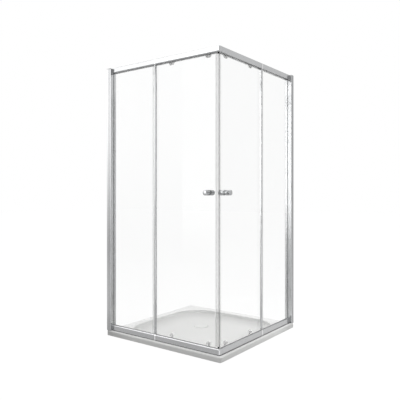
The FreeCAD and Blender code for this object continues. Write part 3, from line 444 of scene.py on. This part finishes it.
def moulding(name, colour, rough, grain_scale=FINE_GRAIN, solid=1.0, stem=None):
    """Moulded plastic or rubber with a fine grain; less than solid shows what is behind.

    A stem has its own colour between two heights, and a half-clear head above it.
    """
    material, tree, shader = new_material(name)
    grain = use_group(tree, moulded_grain(), scale=grain_scale)
    tone = tinted(tree, colour, grain["Tone"], spread=0.06)
    if stem:
        stem_colour, *heights = stem
        place = object_axes(tree)["Z"]
        above_low, head = (past(tree, place, height, blur=0.0003) for height in heights)
        stem_tone = tinted(tree, stem_colour, grain["Tone"], spread=0.06)
        tone = mix_colours(tree, reckon(tree, "SUBTRACT", above_low, head), tone, stem_tone)
        solid = between(tree, head, 1.0, STEM_HEAD_SOLID)
    feed(tree, shader, {
        "Base Color": tone, "Roughness": between(tree, grain["Tone"], *rough), "Alpha": solid})
    bumped(tree, shader, grain["Grain"], strength=0.12, distance=0.0002)
    return material


# Mesh building

SHARP_ANGLE = math.radians(40)
WELD_DISTANCE = 1e-6


def span(node, direction):
    """Lowest and highest reach of a CAD node along a direction."""
    low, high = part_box(node)
    reaches = [Vector((x, y, z)).dot(direction)
               for x in (low.x, high.x) for y in (low.y, high.y) for z in (low.z, high.z)]
    return min(reaches), max(reaches)


def soften(piece, width, segments):
    """Round a piece's sharp edges with modifiers."""
    weld = piece.modifiers.new("Join faces", "WELD")
    weld.merge_threshold = WELD_DISTANCE
    edge = piece.modifiers.new("Soft edges", "BEVEL")
    edge.width = width
    edge.segments = segments
    edge.limit_method = "ANGLE"
    edge.angle_limit = SHARP_ANGLE
    edge.harden_normals = True


def finish_node(node, material, width=0.0, segments=2):
    """Give a CAD node its material and, if asked, soft edges."""
    piece = NODES[node]
    for place in piece.material_slots:
        place.material = material
    if width:
        soften(piece, width, segments)


def finish_pairs(names, material, width=0.0, segments=2):
    """Finish CAD nodes that both sides of the enclosure have."""
    for side in SIDES:
        for name in names:
            finish_node(f"{side}_{name}", material, width, segments)


def add_object(name, data):
    """An object of some data, in the scene."""
    made = bpy.data.objects.new(name, data)
    bpy.context.scene.collection.objects.link(made)
    return made


def add_mesh(name, build, material):
    """A mesh object that build fills, with its material."""
    mesh = bpy.data.meshes.new(name)
    work = bmesh.new()
    build(work)
    work.to_mesh(mesh)
    work.free()
    mesh.materials.append(material)
    return add_object(name, mesh)


def new_piece(name, build, material, body):
    """Make a smooth mesh piece and let it ride on a body."""
    def build_smooth(work):
        build(work)
        bmesh.ops.recalc_face_normals(work, faces=work.faces)
        for face in work.faces:
            face.smooth = True

    piece = add_mesh(name, build_smooth, material)
    piece.data.set_sharp_from_angle(angle=SHARP_ANGLE)
    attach(piece, body)
    return piece


def skin(work, rings):
    """Close a run of rings of places with faces along it and at its two ends."""
    rings = [[work.verts.new(place) for place in ring] for ring in rings]
    for ring, following in zip(rings, rings[1:]):
        for index in range(len(ring)):
            beside = (index + 1) % len(ring)
            work.faces.new((ring[index], ring[beside], following[beside], following[index]))
    work.faces.new(rings[0])
    work.faces.new(rings[-1])


def sweep(work, side, section, start, end):
    """Run a closed section of depth and height along one side of the enclosure."""
    along, depth = SIDES[side]
    skin(work, [[along * reach + depth * d + UP * z for d, z in section] for reach in (start, end)])


def trail(work, path, section):
    """Run a closed section of outward reach and height along places with outward directions."""
    skin(work, [[place + outward * o + UP * z for o, z in section] for place, outward in path])


def stand(work, side, outline, bottom, top):
    """Raise a closed outline of along and depth from bottom to top on one side of the enclosure."""
    along, depth = SIDES[side]
    skin(work, [[along * a + depth * d + UP * height for a, d in outline] for height in (bottom, top)])


def turn(work, foot, axis, profile, steps=72):
    """Turn a profile of radius and height about a level axis that starts at a foot."""
    across = axis.cross(UP)
    rings = []
    for radius, height in profile:
        count = steps if radius else 1
        angles = [2 * math.pi * step / count for step in range(count)]
        rings.append([work.verts.new(foot + axis * height + (
            UP * math.cos(angle) + across * math.sin(angle)) * radius) for angle in angles])
    for lower, upper in zip(rings, rings[1:]):
        for step in range(steps):
            after = step + 1
            corners = (lower[step % len(lower)], lower[after % len(lower)],
                       upper[after % len(upper)], upper[step % len(upper)])
            work.faces.new(list(dict.fromkeys(corners)))


def quarter_round(depth, height, reach, rise, steps=6):
    """Section of a bead in the corner at a depth and height, which reaches and rises from there."""
    section = [(depth, height)]
    for step in range(steps + 1):
        angle = math.pi / 2 * step / steps
        section.append((depth + reach * math.cos(angle), height + rise * math.sin(angle)))
    return section


# Pieces

# Scale of the streaks' pattern along their profile, against 1 across it.
STREAK_STRETCH = 0.004
# Lean of the line on which a pane's end vanishes inside its edging.
WRAP_LEAN = 1.4
ROUND_SEGMENTS = 3
RUBBER_GRAIN, COVER_GRAIN = 1500.0, 900.0
BEAD_ROUGHNESS = (0.5, 0.7)
KNOB_STEPS, CORNER_STEPS, COIL_STEPS = 8, 8, 16
# Bevel of the end caps as a share of their shell.
CAP_BEVEL = 0.8
# Turns that lie closed at each end of a spring.
COIL_CLOSED = 1.0


def settings_of(context):
    """Finish and detail settings of a scene."""
    return context.scene.enclosure_finish, context.scene.enclosure_detail


class EnclosureOperator(bpy.types.Operator):
    """Common options of the enclosure's operators."""

    bl_options = {"REGISTER", "UNDO"}


class ENCLOSURE_OT_profiles(EnclosureOperator):
    """Finish the wall profiles, jambs, posts, rails and corner pieces"""

    bl_idname = "enclosure.profiles"
    bl_label = "Finish profiles"

    def execute(self, context):
        finish, detail = settings_of(context)
        upright = aluminium("aluminium_upright", finish, (1, 1, STREAK_STRETCH))
        for side, (along, depth) in SIDES.items():
            stretch = tuple(STREAK_STRETCH if share else 1.0 for share in along)
            nose = span(f"{side}_fixed_glass", depth)[0] - detail.nose_gap
            back = span(f"{side}_top_rail", depth)[1] - detail.rail_skin
            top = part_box(f"{side}_top_rail")[1].z - detail.rail_skin
            level = aluminium(f"aluminium_{side}_rail", finish, stretch, (depth, nose, back, top))
            for rail in ("top_rail", "bottom_rail"):
                finish_node(f"{side}_{rail}", level)
        finish_pairs(["wall_profile", "jamb", "post"], upright, detail.metal_edge)
        for corner in ("top_corner_connector", "bottom_corner_connector"):
            finish_node(corner, upright, detail.metal_edge)
        return {"FINISHED"}


class ENCLOSURE_OT_panes(EnclosureOperator):
    """Finish the fixed panes and the sliding panes"""

    bl_idname = "enclosure.panes"
    bl_label = "Finish panes"

    def execute(self, context):
        finish = context.scene.enclosure_finish
        for side, (along, depth) in SIDES.items():
            slant = along + depth * WRAP_LEAN
            front = span(f"{side}_door_glass", depth)[0]
            wrap_start = span(f"{side}_door_edge_profile", along)[0] + front * WRAP_LEAN
            pane = clear_glass(f"{side}_clear_glass", finish.glass, slant, wrap_start)
            for glass in ("fixed_glass", "door_glass"):
                finish_node(f"{side}_{glass}", pane)
        return {"FINISHED"}


class ENCLOSURE_OT_tray(EnclosureOperator):
    """Finish the tray and its drain cover"""

    bl_idname = "enclosure.tray"
    bl_label = "Finish tray"

    def execute(self, context):
        finish, detail = settings_of(context)
        rim_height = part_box("left_bottom_rail")[0].z
        finish_node("shower_tray", gloss_white(
            "white_gloss_tray", finish.tray, finish.tray_floor_painted_shade, rim_height, detail.hollow_half))
        # The drain cover takes the basin floor's colour, painted shade included.
        cover = moulding("white_cover", finish.tray_floor_painted_shade, rough=(0.3, 0.4), grain_scale=COVER_GRAIN)
        finish_node("drain_cover", cover, detail.cover_edge, ROUND_SEGMENTS)
        return {"FINISHED"}


class ENCLOSURE_OT_knobs(EnclosureOperator):
    """Finish the knobs with their bolts and washers"""

    bl_idname = "enclosure.knobs"
    bl_label = "Finish knobs"

    def execute(self, context):
        finish, detail = settings_of(context)
        chrome = bright_metal("knob_chrome", finish.chrome, rough=(0.05, 0.12))
        steel = bright_metal("bolt_steel", finish.steel, rough=(0.25, 0.4))
        washer = moulding("clear_washer", finish.seal, rough=(0.35, 0.5), solid=0.6)
        for side in SIDES:
            self.turn_outer_knob(side, detail, chrome)
        finish_pairs(["inner_knob"], chrome, detail.moulded_edge, ROUND_SEGMENTS)
        finish_pairs(["knob_bolt"], steel)
        finish_pairs(["knob_washers"], washer)
        return {"FINISHED"}

    def turn_outer_knob(self, side, detail, chrome):
        """An outer knob with a neck at the glass and a round, slightly domed face."""
        node = f"{side}_outer_knob"
        along, depth = SIDES[side]
        low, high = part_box(node)
        outer, inner = span(node, depth)
        foot = along * (sum(span(node, along)) / 2) + depth * inner
        foot.z = (low.z + high.z) / 2
        length, radius = inner - outer, (high.z - low.z) / 2
        bend, dome, edge = detail.knob_round, detail.knob_dome, detail.moulded_edge
        neck, shoulder, face = detail.knob_neck, detail.knob_neck_length, radius - detail.knob_round
        profile = [(0, 0), (neck, 0), (neck, shoulder), (radius - edge, shoulder),
                   (radius, shoulder + edge)]
        tilt = 2 * math.atan(dome / face)
        for step in range(KNOB_STEPS + 1):
            angle = (math.pi / 2 - tilt) * step / KNOB_STEPS
            profile.append((face + bend * math.cos(angle),
                            length - dome - bend + bend * math.sin(angle)))
        rim_radius, rim_height = profile[-1]
        for step in range(1, KNOB_STEPS + 1):
            share = 1 - step / KNOB_STEPS
            profile.append((rim_radius * share, length - (length - rim_height) * share ** 2))
        piece = new_piece(f"{side}_domed_knob", lambda work: turn(work, foot, -depth, profile),
                          chrome, f"{side}_door")
        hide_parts(node)


class ENCLOSURE_OT_seals(EnclosureOperator):
    """Finish the doors' edgings, magnet strips, rear seals, gaskets and stops"""

    bl_idname = "enclosure.seals"
    bl_label = "Finish seals"

    def execute(self, context):
        finish, detail = settings_of(context)
        magnet = moulding("magnet_strip_sheath", finish.magnet, rough=(0.2, 0.35), solid=0.2)
        edging = moulding("clear_edging", finish.edging, rough=(0.1, 0.2), solid=0.025)
        seal = moulding("clear_seal", finish.seal, rough=(0.25, 0.4), solid=0.15)
        rubber = moulding("black_rubber", finish.rubber, rough=(0.55, 0.75), grain_scale=RUBBER_GRAIN)
        finish_pairs(["magnet_strip"], magnet)
        finish_pairs(["door_edge_profile"], edging)
        finish_pairs(["rear_seal"], seal)
        finish_node("jamb_gaskets", seal)
        finish_node("door_stops", rubber, detail.moulded_edge)
        return {"FINISHED"}


class ENCLOSURE_OT_rollers(EnclosureOperator):
    """Finish the brackets, clamps, guides, wheels, axles and release sliders"""

    bl_idname = "enclosure.rollers"
    bl_label = "Finish rollers"

    def execute(self, context):
        finish, detail = settings_of(context)
        bracket = moulding("frosted_moulding", finish.bracket, rough=(0.35, 0.5), solid=0.5)
        clear = moulding("clear_moulding", finish.bracket, rough=(0.25, 0.4), solid=0.2)
        wheel = moulding("white_wheel", finish.wheel, rough=(0.25, 0.35))
        guide_low, guide_high = (corner.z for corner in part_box("left_lower_guides"))
        button = moulding("release_slider", finish.bracket, rough=(0.35, 0.5),
                          stem=(finish.button, guide_low - detail.stem_reach, guide_high))
        pale_steel = bright_metal("axle_steel", finish.clip, rough=(0.45, 0.6))
        finish_pairs(["upper_brackets"], bracket, detail.moulded_edge)
        finish_pairs(["clamp_plates", "lower_guides"], clear, detail.moulded_edge)
        finish_pairs(["upper_axles"], pale_steel, detail.turned_edge)
        for end in ENDS:
            finish_pairs([f"upper_wheel_{end}", f"lower_wheel_{end}"], wheel, detail.turned_edge)
            finish_pairs([f"release_slider_{end}"], button, detail.moulded_edge)
        return {"FINISHED"}


class ENCLOSURE_OT_fixings(EnclosureOperator):
    """Finish the caps, plugs, clips and jamb screws"""

    bl_idname = "enclosure.fixings"
    bl_label = "Finish fixings"

    def execute(self, context):
        finish, detail = settings_of(context)
        cap = moulding("grey_cap", finish.cap, rough=(0.3, 0.45))
        steel = bright_metal("clip_steel", finish.clip, rough=(0.1, 0.2))
        finish_node("profile_caps", cap, detail.moulded_edge)
        finish_node("rail_end_plugs", cap)
        finish_node("rail_clips", steel, detail.clip_edge)
        finish_node("adjuster_screws", steel, detail.turned_edge)
        return {"FINISHED"}


class ENCLOSURE_OT_beads(EnclosureOperator):
    """Lay the glazing beads on the rails' noses and the joint at the foot of the bottom rails"""

    bl_idname = "enclosure.beads"
    bl_label = "Lay beads and joints"

    def execute(self, context):
        finish, detail = settings_of(context)
        rubber, low_bead, top_bead = (
            moulding(name, colour, BEAD_ROUGHNESS, RUBBER_GRAIN) for name, colour in (
                ("dark_rubber", finish.rubber), ("dark_bead", finish.low_bead),
                ("grey_bead", finish.bead)))
        for side, (along, depth) in SIDES.items():
            glass_face = span(f"{side}_fixed_glass", depth)[0]
            start, end = span(f"{side}_bottom_rail", along)
            for rail, way, bead in (("bottom_rail", 1, low_bead), ("top_rail", -1, top_bead)):
                low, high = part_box(f"{side}_{rail}")
                seat = high.z if way > 0 else low.z
                section = quarter_round(glass_face, seat, -detail.bead_depth, way * detail.bead_height)
                new_piece(f"{side}_{rail}_bead", lambda work: sweep(work, side, section, start, end),
                          bead, "frame")
        self.lay_foot_joint(detail, rubber)
        return {"FINISHED"}

    def lay_foot_joint(self, detail, rubber):
        """One dark bead at the foot of both bottom rails and round their corner."""
        corner_low, corner_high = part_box("bottom_corner_connector")
        bend = detail.corner_round
        centre = Vector((corner_high.x - bend, corner_low.y + bend, 0))
        left, right = (depth for _, depth in SIDES.values())
        path = [(Vector((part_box("left_bottom_rail")[0].x, corner_low.y, 0)), -left)]
        for step in range(CORNER_STEPS + 1):
            angle = math.pi / 2 * (step / CORNER_STEPS - 1)
            outward = Vector((math.cos(angle), math.sin(angle), 0))
            path.append((centre + outward * bend, outward))
        path.append((Vector((corner_high.x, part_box("right_bottom_rail")[1].y, 0)), -right))
        section = quarter_round(-detail.joint_depth, corner_low.z,
                                detail.joint_depth + detail.joint_proud, detail.joint_height)
        new_piece("foot_joint", lambda work: trail(work, path, section),
                  rubber, "frame")


class ENCLOSURE_OT_edge_lips(EnclosureOperator):
    """Add the soft lips with which the door edgings hold the panes"""

    bl_idname = "enclosure.edge_lips"
    bl_label = "Add edging lips"

    def execute(self, context):
        finish, detail = settings_of(context)
        # Grey of the lips: painted shade along the edging's step on the glass.
        lip_painted_shade = moulding("edging_lip", finish.lip_painted_shade, rough=(0.3, 0.45), solid=0.4)
        for side, (along, depth) in SIDES.items():
            profile = f"{side}_door_edge_profile"
            start = span(profile, along)[0]
            outer, inner = span(profile, depth)
            foot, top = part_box(profile)
            for place, seat, way in (("outer", outer, 1), ("inner", inner, -1)):
                bead = quarter_round(start, seat + way * detail.lip_thickness, -detail.lip_reach,
                                     -way * detail.lip_thickness)
                new_piece(f"{side}_{place}_edge_lip",
                          lambda work: stand(work, side, bead, foot.z, top.z),
                          lip_painted_shade, f"{side}_door")
        return {"FINISHED"}


class ENCLOSURE_OT_end_caps(EnclosureOperator):
    """Put black caps on both ends of the doors' leading edges"""

    bl_idname = "enclosure.end_caps"
    bl_label = "Add end caps"

    def execute(self, context):
        finish, detail = settings_of(context)
        black = moulding("end_cap_black", finish.button, rough=(0.4, 0.55))
        shell, height = detail.cap_shell, detail.cap_height
        for side, (along, depth) in SIDES.items():
            strip = f"{side}_magnet_strip"
            end = span(strip, along)[1]
            start = end - detail.cap_width - shell
            front, back = span(strip, depth)
            front, back = front - shell, back + shell
            low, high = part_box(strip)
            for place, bottom in (("lower", low.z - shell), ("upper", high.z + shell - height)):
                top = bottom + height
                section = [(front, bottom), (back, bottom), (back, top), (front, top)]

                def build(work):
                    sweep(work, side, section, start, end)
                    bmesh.ops.bevel(work, geom=work.edges[:], offset=shell * CAP_BEVEL, segments=2,
                                    affect="EDGES")

                new_piece(f"{side}_{place}_edge_cap", build, black, f"{side}_door")
        return {"FINISHED"}


class ENCLOSURE_OT_springs(EnclosureOperator):
    """Wind the release springs as coils with closed ends"""

    bl_idname = "enclosure.springs"
    bl_label = "Wind springs"

    def execute(self, context):
        finish, detail = settings_of(context)
        steel = bright_metal("spring_steel", finish.steel, rough=(0.2, 0.32))
        for side, (along, depth) in SIDES.items():
            node = f"{side}_release_springs"
            low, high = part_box(node)
            nearest, farthest = span(node, along)
            front, back = span(node, depth)
            outer = (back - front) / 2
            middles = {"front": farthest - outer, "rear": nearest + outer}
            for end in ENDS:
                centre = along * middles[end] + depth * (front + outer)
                coil = self.wind(f"{side}_release_spring_{end}", centre, outer, low.z, high.z, detail)
                coil.data.materials.append(steel)
                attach(coil, f"{side}_door")
                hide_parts(node)
                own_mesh(coil)
        return {"FINISHED"}

    def wind(self, name, centre, outer, bottom, top, detail):
        """A coil with closed ends, as a mesh made from a curve."""
        wire, working_turns = detail.spring_wire, detail.spring_turns
        radius = outer - wire
        curve = bpy.data.curves.new(name, "CURVE")
        curve.dimensions = "3D"
        curve.bevel_depth = wire
        curve.bevel_resolution = 3
        path = curve.splines.new("NURBS")
        path.points.add(int((working_turns + 2 * COIL_CLOSED) * COIL_STEPS))
        lower, upper = bottom + wire, top - wire
        run = (upper - lower) - 4 * wire
        for index, point in enumerate(path.points):
            turns = index / COIL_STEPS
            working = min(max(turns - COIL_CLOSED, 0.0), working_turns) / working_turns
            ended = max(turns - COIL_CLOSED - working_turns, 0.0)
            closing = (min(turns, COIL_CLOSED) + ended) / COIL_CLOSED
            angle = 2 * math.pi * turns
            point.co = (centre.x + radius * math.cos(angle), centre.y + radius * math.sin(angle),
                        lower + closing * 2 * wire + working * run, 1)
        path.order_u = 3
        path.use_endpoint_u = True
        draft = add_object(f"{name}_draft", curve)
        bpy.context.view_layer.update()
        ready = draft.evaluated_get(bpy.context.evaluated_depsgraph_get())
        mesh = bpy.data.meshes.new_from_object(ready)
        mesh.name = name
        mesh.materials.clear()
        bpy.data.objects.remove(draft)
        return add_object(name, mesh)


# Stage

FLOOR_HALF, FLOOR_DROP = 20, 0.0002
PALE_FLOOR = {"Base Color": (0.5, 0.5, 0.5, 1), "Roughness": 0.8, "Specular IOR Level": 0.0}
# Glow at which the floor shows white with its share of shadow taken off.
FLOOR_GLOW = 1.14
# Place, target, width and length of the lamps.
TOP_LAMP = ((0.2, -0.3, 4.2), (0.2, -0.3, 0.0), (3.5, 3.5))
LOW_LAMP = ((1.35, 1.15, 0.45), (0.5, 0.5, 0.03), (0.5, 0.3))
ON_FLOOR = 0.001
# Level cards: name, tone, reach from west to east and from south to north, height.
UPWARD_CARDS = (
    ("rail_card", "dim", (-2.4, 0.45), (-2.6, -0.56), 1.82),
    ("left_floor_card", "card", (-3.2, -0.6), (-0.5, 1.6), ON_FLOOR),
    ("back_floor_card", "card", (-1.0, 0.45), (0.85, 5.0), ON_FLOOR),
    ("near_floor_card", "low", (-6.0, 0.42), (-0.9, -0.505), ON_FLOOR),
    ("far_floor_card", "far", (-6.0, 0.42), (-6.0, -0.9), ON_FLOOR),
    ("corner_floor_card", "corner", (0.45, 2.2), (-2.6, -0.52), ON_FLOOR),
)
DOWNWARD_CARDS = (
    ("low_card", "screen", (-3.0, 0.4), (-3.0, -0.6), 0.4),
    ("over_card", "screen", (-3.2, -1.2), (-2.4, 0.6), 3.0),
    ("ceiling_card", "dark", (-1.6, 0.45), (-1.0, -0.5), 2.3),
)
CARD_TONES = ("card", "dark", "dim", "low", "far", "corner", "screen")
# Upright screens: name, width and height, place of the middle, heading in degrees.
SCREENS = (
    ("left_screen", (1.98, 5.0), (-3.146, -3.011, 2.5), 142.9),
    ("right_screen", (1.62, 5.0), (-1.711, -4.097, 2.5), 142.9),
    ("front_screen", (2.4, 4.0), (2.9, -4.1, 2.0), 215.3),
    ("back_screen", (1.6, 4.6), (6.84, 6.34, 2.3), -47.0),
)
# Parts of their height between which the shaded screens go from their low to their high tone.
LEFT_SHADE, RIGHT_SHADE = (0.005, 0.435), (-0.02, 0.2)
SENSOR_WIDTH = 36.0
# Turn that stands a screen up and levels the camera.
UPRIGHT = math.radians(90)


class ENCLOSURE_OT_stage(EnclosureOperator):
    """Set the floor, the room's light, the lamps, the cards and the camera"""

    bl_idname = "enclosure.stage"
    bl_label = "Set the stage"

    def execute(self, context):
        stage = context.scene.enclosure_stage
        context.scene.view_settings.view_transform = "Standard"
        self.make_room(context.scene, stage)
        self.make_floor(stage)
        self.make_lamps(stage)
        self.make_cards(stage)
        self.make_camera(context.scene, stage)
        return {"FINISHED"}

    def seen_directly(self, tree):
        """1 for rays that show the room itself, in the picture, in metal or through glass."""
        path = add_node(tree, "ShaderNodeLightPath").outputs
        first = reckon(tree, "MAXIMUM", path["Is Camera Ray"], path["Is Glossy Ray"])
        return reckon(tree, "MAXIMUM", first, path["Is Transmission Ray"])

    def make_room(self, scene, stage):
        """White surroundings that light the object at a lower, even level."""
        world = bpy.data.worlds.new("studio_room")
        world.use_nodes = True
        scene.world = world
        tree = world.node_tree
        level = between(tree, self.seen_directly(tree), stage.room_light, 1.0)
        feed(tree, tree.nodes["Background"], {"Color": (1, 1, 1, 1), "Strength": level})

    def make_floor(self, stage):
        """Pale floor that shows white and keeps a share of the object's shadow."""
        material, tree, shader = new_material("pale_floor")
        feed(tree, shader, PALE_FLOOR)
        glow = add_node(tree, "ShaderNodeEmission", {"Strength": FLOOR_GLOW})
        share = reckon(tree, "MULTIPLY", self.seen_directly(tree), 1 - stage.floor_shade)
        show_either(tree, share, shader.outputs["BSDF"], glow.outputs["Emission"])
        floor = add_mesh("studio_floor", lambda work: bmesh.ops.create_grid(
            work, x_segments=2, y_segments=2, size=FLOOR_HALF), material)
        floor.location.z = -FLOOR_DROP

    def make_lamps(self, stage):
        """A wide lamp overhead and a small one low on the right."""
        self.make_lamp("top_lamp", *TOP_LAMP, stage.top_light)
        low = self.make_lamp("low_lamp", *LOW_LAMP, stage.low_light)
        low.visible_glossy = low.visible_transmission = False

    def make_lamp(self, name, place, target, size, power):
        """A rectangular lamp that faces a target."""
        lamp = bpy.data.lights.new(name, "AREA")
        lamp.shape = "RECTANGLE"
        lamp.size, lamp.size_y = size
        lamp.energy = power
        holder = add_object(name, lamp)
        holder.location = place
        holder.rotation_euler = (Vector(target) - Vector(place)).to_track_quat("-Z", "Y").to_euler()
        return holder

    def make_cards(self, stage):
        """Level cards and upright screens outside the picture, which only mirrored rays see."""
        tones = {name: self.mirror_only(f"{name}_card", getattr(stage, f"{name}_tone"))
                 for name in CARD_TONES}
        for cards, tip in ((UPWARD_CARDS, 0.0), (DOWNWARD_CARDS, math.pi)):
            for name, tone, (west, east), (south, north), height in cards:
                card = self.make_card(name, tones[tone], (east - west, north - south))
                card.location = ((west + east) / 2, (south + north) / 2, height)
                card.rotation_euler.x = tip
        low = stage.low_tone
        looks = (self.shaded_screen("left_screen", LEFT_SHADE, (low, stage.screen_tone)),
                 self.shaded_screen("right_screen", RIGHT_SHADE, (low, stage.bright_tone)),
                 self.mirror_only("front_screen", stage.front_tone),
                 self.mirror_only("back_screen", stage.back_tone))
        for look, (name, size, place, heading) in zip(looks, SCREENS):
            screen = self.make_card(name, look, size)
            screen.location = place
            screen.rotation_euler = Euler((UPRIGHT, 0, math.radians(heading)))

    def shaded_screen(self, name, heights, levels):
        """Screen that goes from one level to another between two parts of its height."""
        material = self.mirror_only(name, levels[1])
        tree = material.node_tree
        height = add_node(tree, "ShaderNodeSeparateXYZ", {
            "Vector": add_node(tree, "ShaderNodeTexCoord").outputs["Generated"]}).outputs["Y"]
        level = spread_range(tree, height, heights, levels, interpolation_type="SMOOTHSTEP")
        feed(tree, tree.nodes["Glow"], {"Strength": level})
        return material

    def mirror_only(self, name, tone):
        """Glow of one tone that shows in mirrors only, also in those behind glass."""
        material, tree, shader = new_material(name)
        tree.nodes.remove(shader)
        glow = add_node(tree, "ShaderNodeEmission", {"Strength": tone}, name="Glow")
        open_way = add_node(tree, "ShaderNodeBsdfTransparent")
        mirrored = add_node(tree, "ShaderNodeLightPath").outputs["Glossy Depth"]
        behind = add_node(tree, "ShaderNodeNewGeometry").outputs["Backfacing"]
        front = reckon(tree, "SUBTRACT", 1.0, behind)
        seen = reckon(tree, "MULTIPLY", mirrored, front, use_clamp=True)
        show_either(tree, seen, open_way.outputs["BSDF"], glow.outputs["Emission"])
        return material

    def make_card(self, name, material, size):
        """A flat card of a width and length, hidden from the camera and from shadows."""
        def build(work):
            bmesh.ops.create_grid(work, x_segments=1, y_segments=1, size=0.5)
            bmesh.ops.scale(work, vec=(*size, 1), verts=work.verts)

        card = add_mesh(name, build, material)
        card.visible_camera = card.visible_diffuse = card.visible_shadow = False
        return card

    def make_camera(self, scene, stage):
        """Level camera at the photograph's viewing angle."""
        lens = bpy.data.cameras.new("studio_camera")
        lens.sensor_width = SENSOR_WIDTH
        lens.lens = stage.camera_lens
        lens.shift_y = stage.camera_rise
        camera = add_object("studio_camera", lens)
        camera.location = stage.camera_place
        camera.rotation_euler = Euler((UPRIGHT, 0, stage.camera_heading))
        scene.camera = camera


class ENCLOSURE_PT_panel(bpy.types.Panel):
    """Settings and steps of the enclosure"""

    bl_idname = "ENCLOSURE_PT_panel"
    bl_label = "Shower enclosure"
    bl_space_type = "VIEW_3D"
    bl_region_type = "UI"
    bl_category = "Enclosure"

    def draw(self, context):
        for settings in SETTINGS:
            box = self.layout.box()
            group = getattr(context.scene, settings)
            for name in group.bl_rna.properties.keys():
                if name not in ("rna_type", "name"):
                    box.prop(group, name)
        for step in STEPS:
            self.layout.operator(step.bl_idname)


SETTINGS = {
    "enclosure_finish": EnclosureFinish,
    "enclosure_detail": EnclosureDetail,
    "enclosure_stage": EnclosureStage,
}
STEPS = (
    ENCLOSURE_OT_profiles,
    ENCLOSURE_OT_panes,
    ENCLOSURE_OT_tray,
    ENCLOSURE_OT_knobs,
    ENCLOSURE_OT_seals,
    ENCLOSURE_OT_rollers,
    ENCLOSURE_OT_fixings,
    ENCLOSURE_OT_beads,
    ENCLOSURE_OT_edge_lips,
    ENCLOSURE_OT_end_caps,
    ENCLOSURE_OT_springs,
    ENCLOSURE_OT_stage,
)


def register():
    for settings in SETTINGS.values():
        bpy.utils.register_class(settings)
    for name, settings in SETTINGS.items():
        setattr(bpy.types.Scene, name, bpy.props.PointerProperty(type=settings))
    for step in STEPS:
        bpy.utils.register_class(step)
    bpy.utils.register_class(ENCLOSURE_PT_panel)


def unregister():
    bpy.utils.unregister_class(ENCLOSURE_PT_panel)
    for step in reversed(STEPS):
        bpy.utils.unregister_class(step)
    for name, settings in SETTINGS.items():
        delattr(bpy.types.Scene, name)
        bpy.utils.unregister_class(settings)


def main():
    register()
    for step in STEPS:
        family, name = step.bl_idname.split(".")
        getattr(getattr(bpy.ops, family), name)()


if __name__ == "__main__":
    main()
